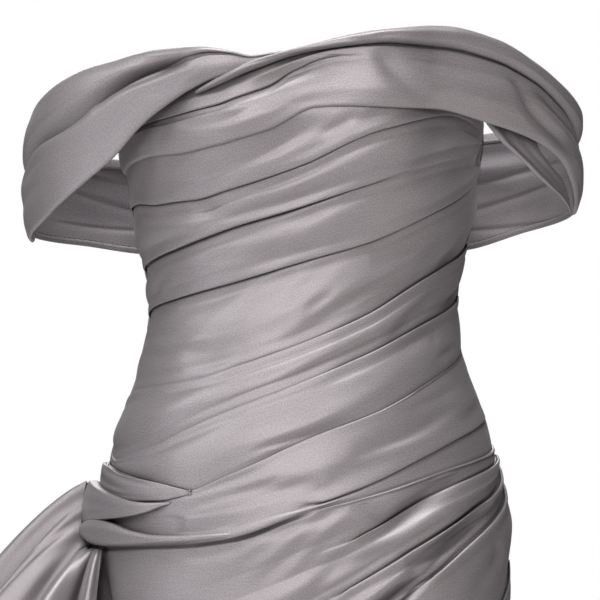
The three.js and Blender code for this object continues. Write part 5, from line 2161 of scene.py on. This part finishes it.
@dataclass(frozen=True)
class Studio:
    """The white studio: camera at the photograph's angle, floor, soft lights."""

    target: Spot = (-0.0025, 0.0, 0.009)
    distance: float = 2.7
    rise: float = -8.0
    lens: float = 196.4
    floor_gap: float = 0.0012
    floor_half: float = 30
    dim: float = 0.02
    lamps: tuple[Lamp, ...] = (
        Lamp("key", (-0.3, -2.9, 0.8), (0.0, 0.0, 0.0), (1.4, 0.8), 31, (1.0, 0.99, 0.98)),
        Lamp("top", (-0.2, -1.2, 2.6), (0.0, 0.0, 0.1), (1.2, 0.8), 48, (0.95, 0.975, 1.0)),
        Lamp("above", (0.1, -0.3, 2.9), (0.0, 0.0, 0.1), (1.4, 1.0), 34, (0.96, 0.98, 1.0)),
        Lamp("upper_left", (-1.9, -1.7, 1.4), (0.0, 0.0, 0.12), (1.0, 1.0), 20, (0.96, 0.98, 1.0)),
        Lamp("low_left", (-1.9, -2.2, -0.75), (0, 0, -0.05), (1.0, 1.0), 11, (0.90, 0.95, 1.0)),
        Lamp("low_right", (1.7, -2.0, -0.7), (0, 0, -0.05), (1.0, 1.0), 4, (1.0, 0.93, 0.86)),
        Lamp("back", (-0.1, 2.5, 1.7), (0, 0, -0.3), (1.8, 1.2), 38, (1, 1, 1)),
    )

    def camera(self) -> None:
        """Sets up the camera."""
        data = bpy.data.cameras.new("camera")
        data.lens, data.sensor_width, data.sensor_fit = self.lens, 36, "AUTO"
        data.clip_start, data.clip_end = 0.05, 50
        camera = bpy.data.objects.new("camera", data)
        rise = math.radians(self.rise)
        aim = Vector(self.target)
        camera.location = aim + Vector((0, -math.cos(rise), math.sin(rise))) * self.distance
        camera.rotation_euler = (aim - camera.location).to_track_quat("-Z", "Y").to_euler()
        bpy.context.collection.objects.link(camera)
        bpy.context.scene.camera = camera

    def floor(self) -> None:
        """Lays the floor just under the hem."""
        mesh = bpy.data.meshes.new("floor")
        z, half = HEM_Z * MM - self.floor_gap, self.floor_half
        corners = [(-half, -half, z), (half, -half, z), (half, half, z), (-half, half, z)]
        mesh.from_pydata(corners, [], [(0, 1, 2, 3)])
        thing = add_object(mesh)
        mesh.materials.append(Paper().material())

    def light(self) -> None:
        """Lights the room: white behind the object, and a softer glow on it."""
        scene = bpy.context.scene
        world = bpy.data.worlds.new("room")
        scene.world = world
        world.use_nodes = True
        tree = world.node_tree
        background = node_of(tree, "BACKGROUND")
        background.inputs["Color"].default_value = WHITE
        seen = add_node(tree, "ShaderNodeLightPath", output="Is Camera Ray")
        dress(background, {"Strength": self.dim + (1 - self.dim) * seen})
        scene.view_settings.view_transform = "Standard"
        scene.view_settings.look = "None"
        for lamp in self.lamps:
            lamp.build()


def main() -> None:
    """Builds the whole gown and its studio, piece by piece."""
    logging.basicConfig(level=logging.INFO, format="%(message)s")
    studio = Studio()
    studio.camera()
    studio.floor()
    studio.light()
    satin, nickel = Satin().material(), Nickel().material()
    bodice, skirt, bands = Bodice(), Skirt(), ShoulderBands()
    pieces = [
        bodice.front(),
        bodice.back(1),
        bodice.back(-1),
        skirt.front(),
        skirt.back(bodice),
        HipWrap().build(bodice.hip, skirt.top),
        *(fold.build() for fold in KNOT),
        SideDrape().build(),
        bands.front_of_bust(),
        bands.neck(),
        bands.right_arm(),
        bands.back(1),
        bands.back(-1),
        bands.arm_stay(),
    ]
    things = {piece.thing.name: piece.thing for piece in pieces}
    pieces += [row.build(things) for row in STITCHES]
    pieces += ConcealedZip().build(things)
    for piece in pieces:
        piece.declare(satin)
    for node in ("zip_slider", "zip_pull"):
        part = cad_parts[node]
        part.data.materials.clear()
        part.data.materials.append(nickel)
        log.info("%s: nickel", node)


if __name__ == "__main__":
    main()
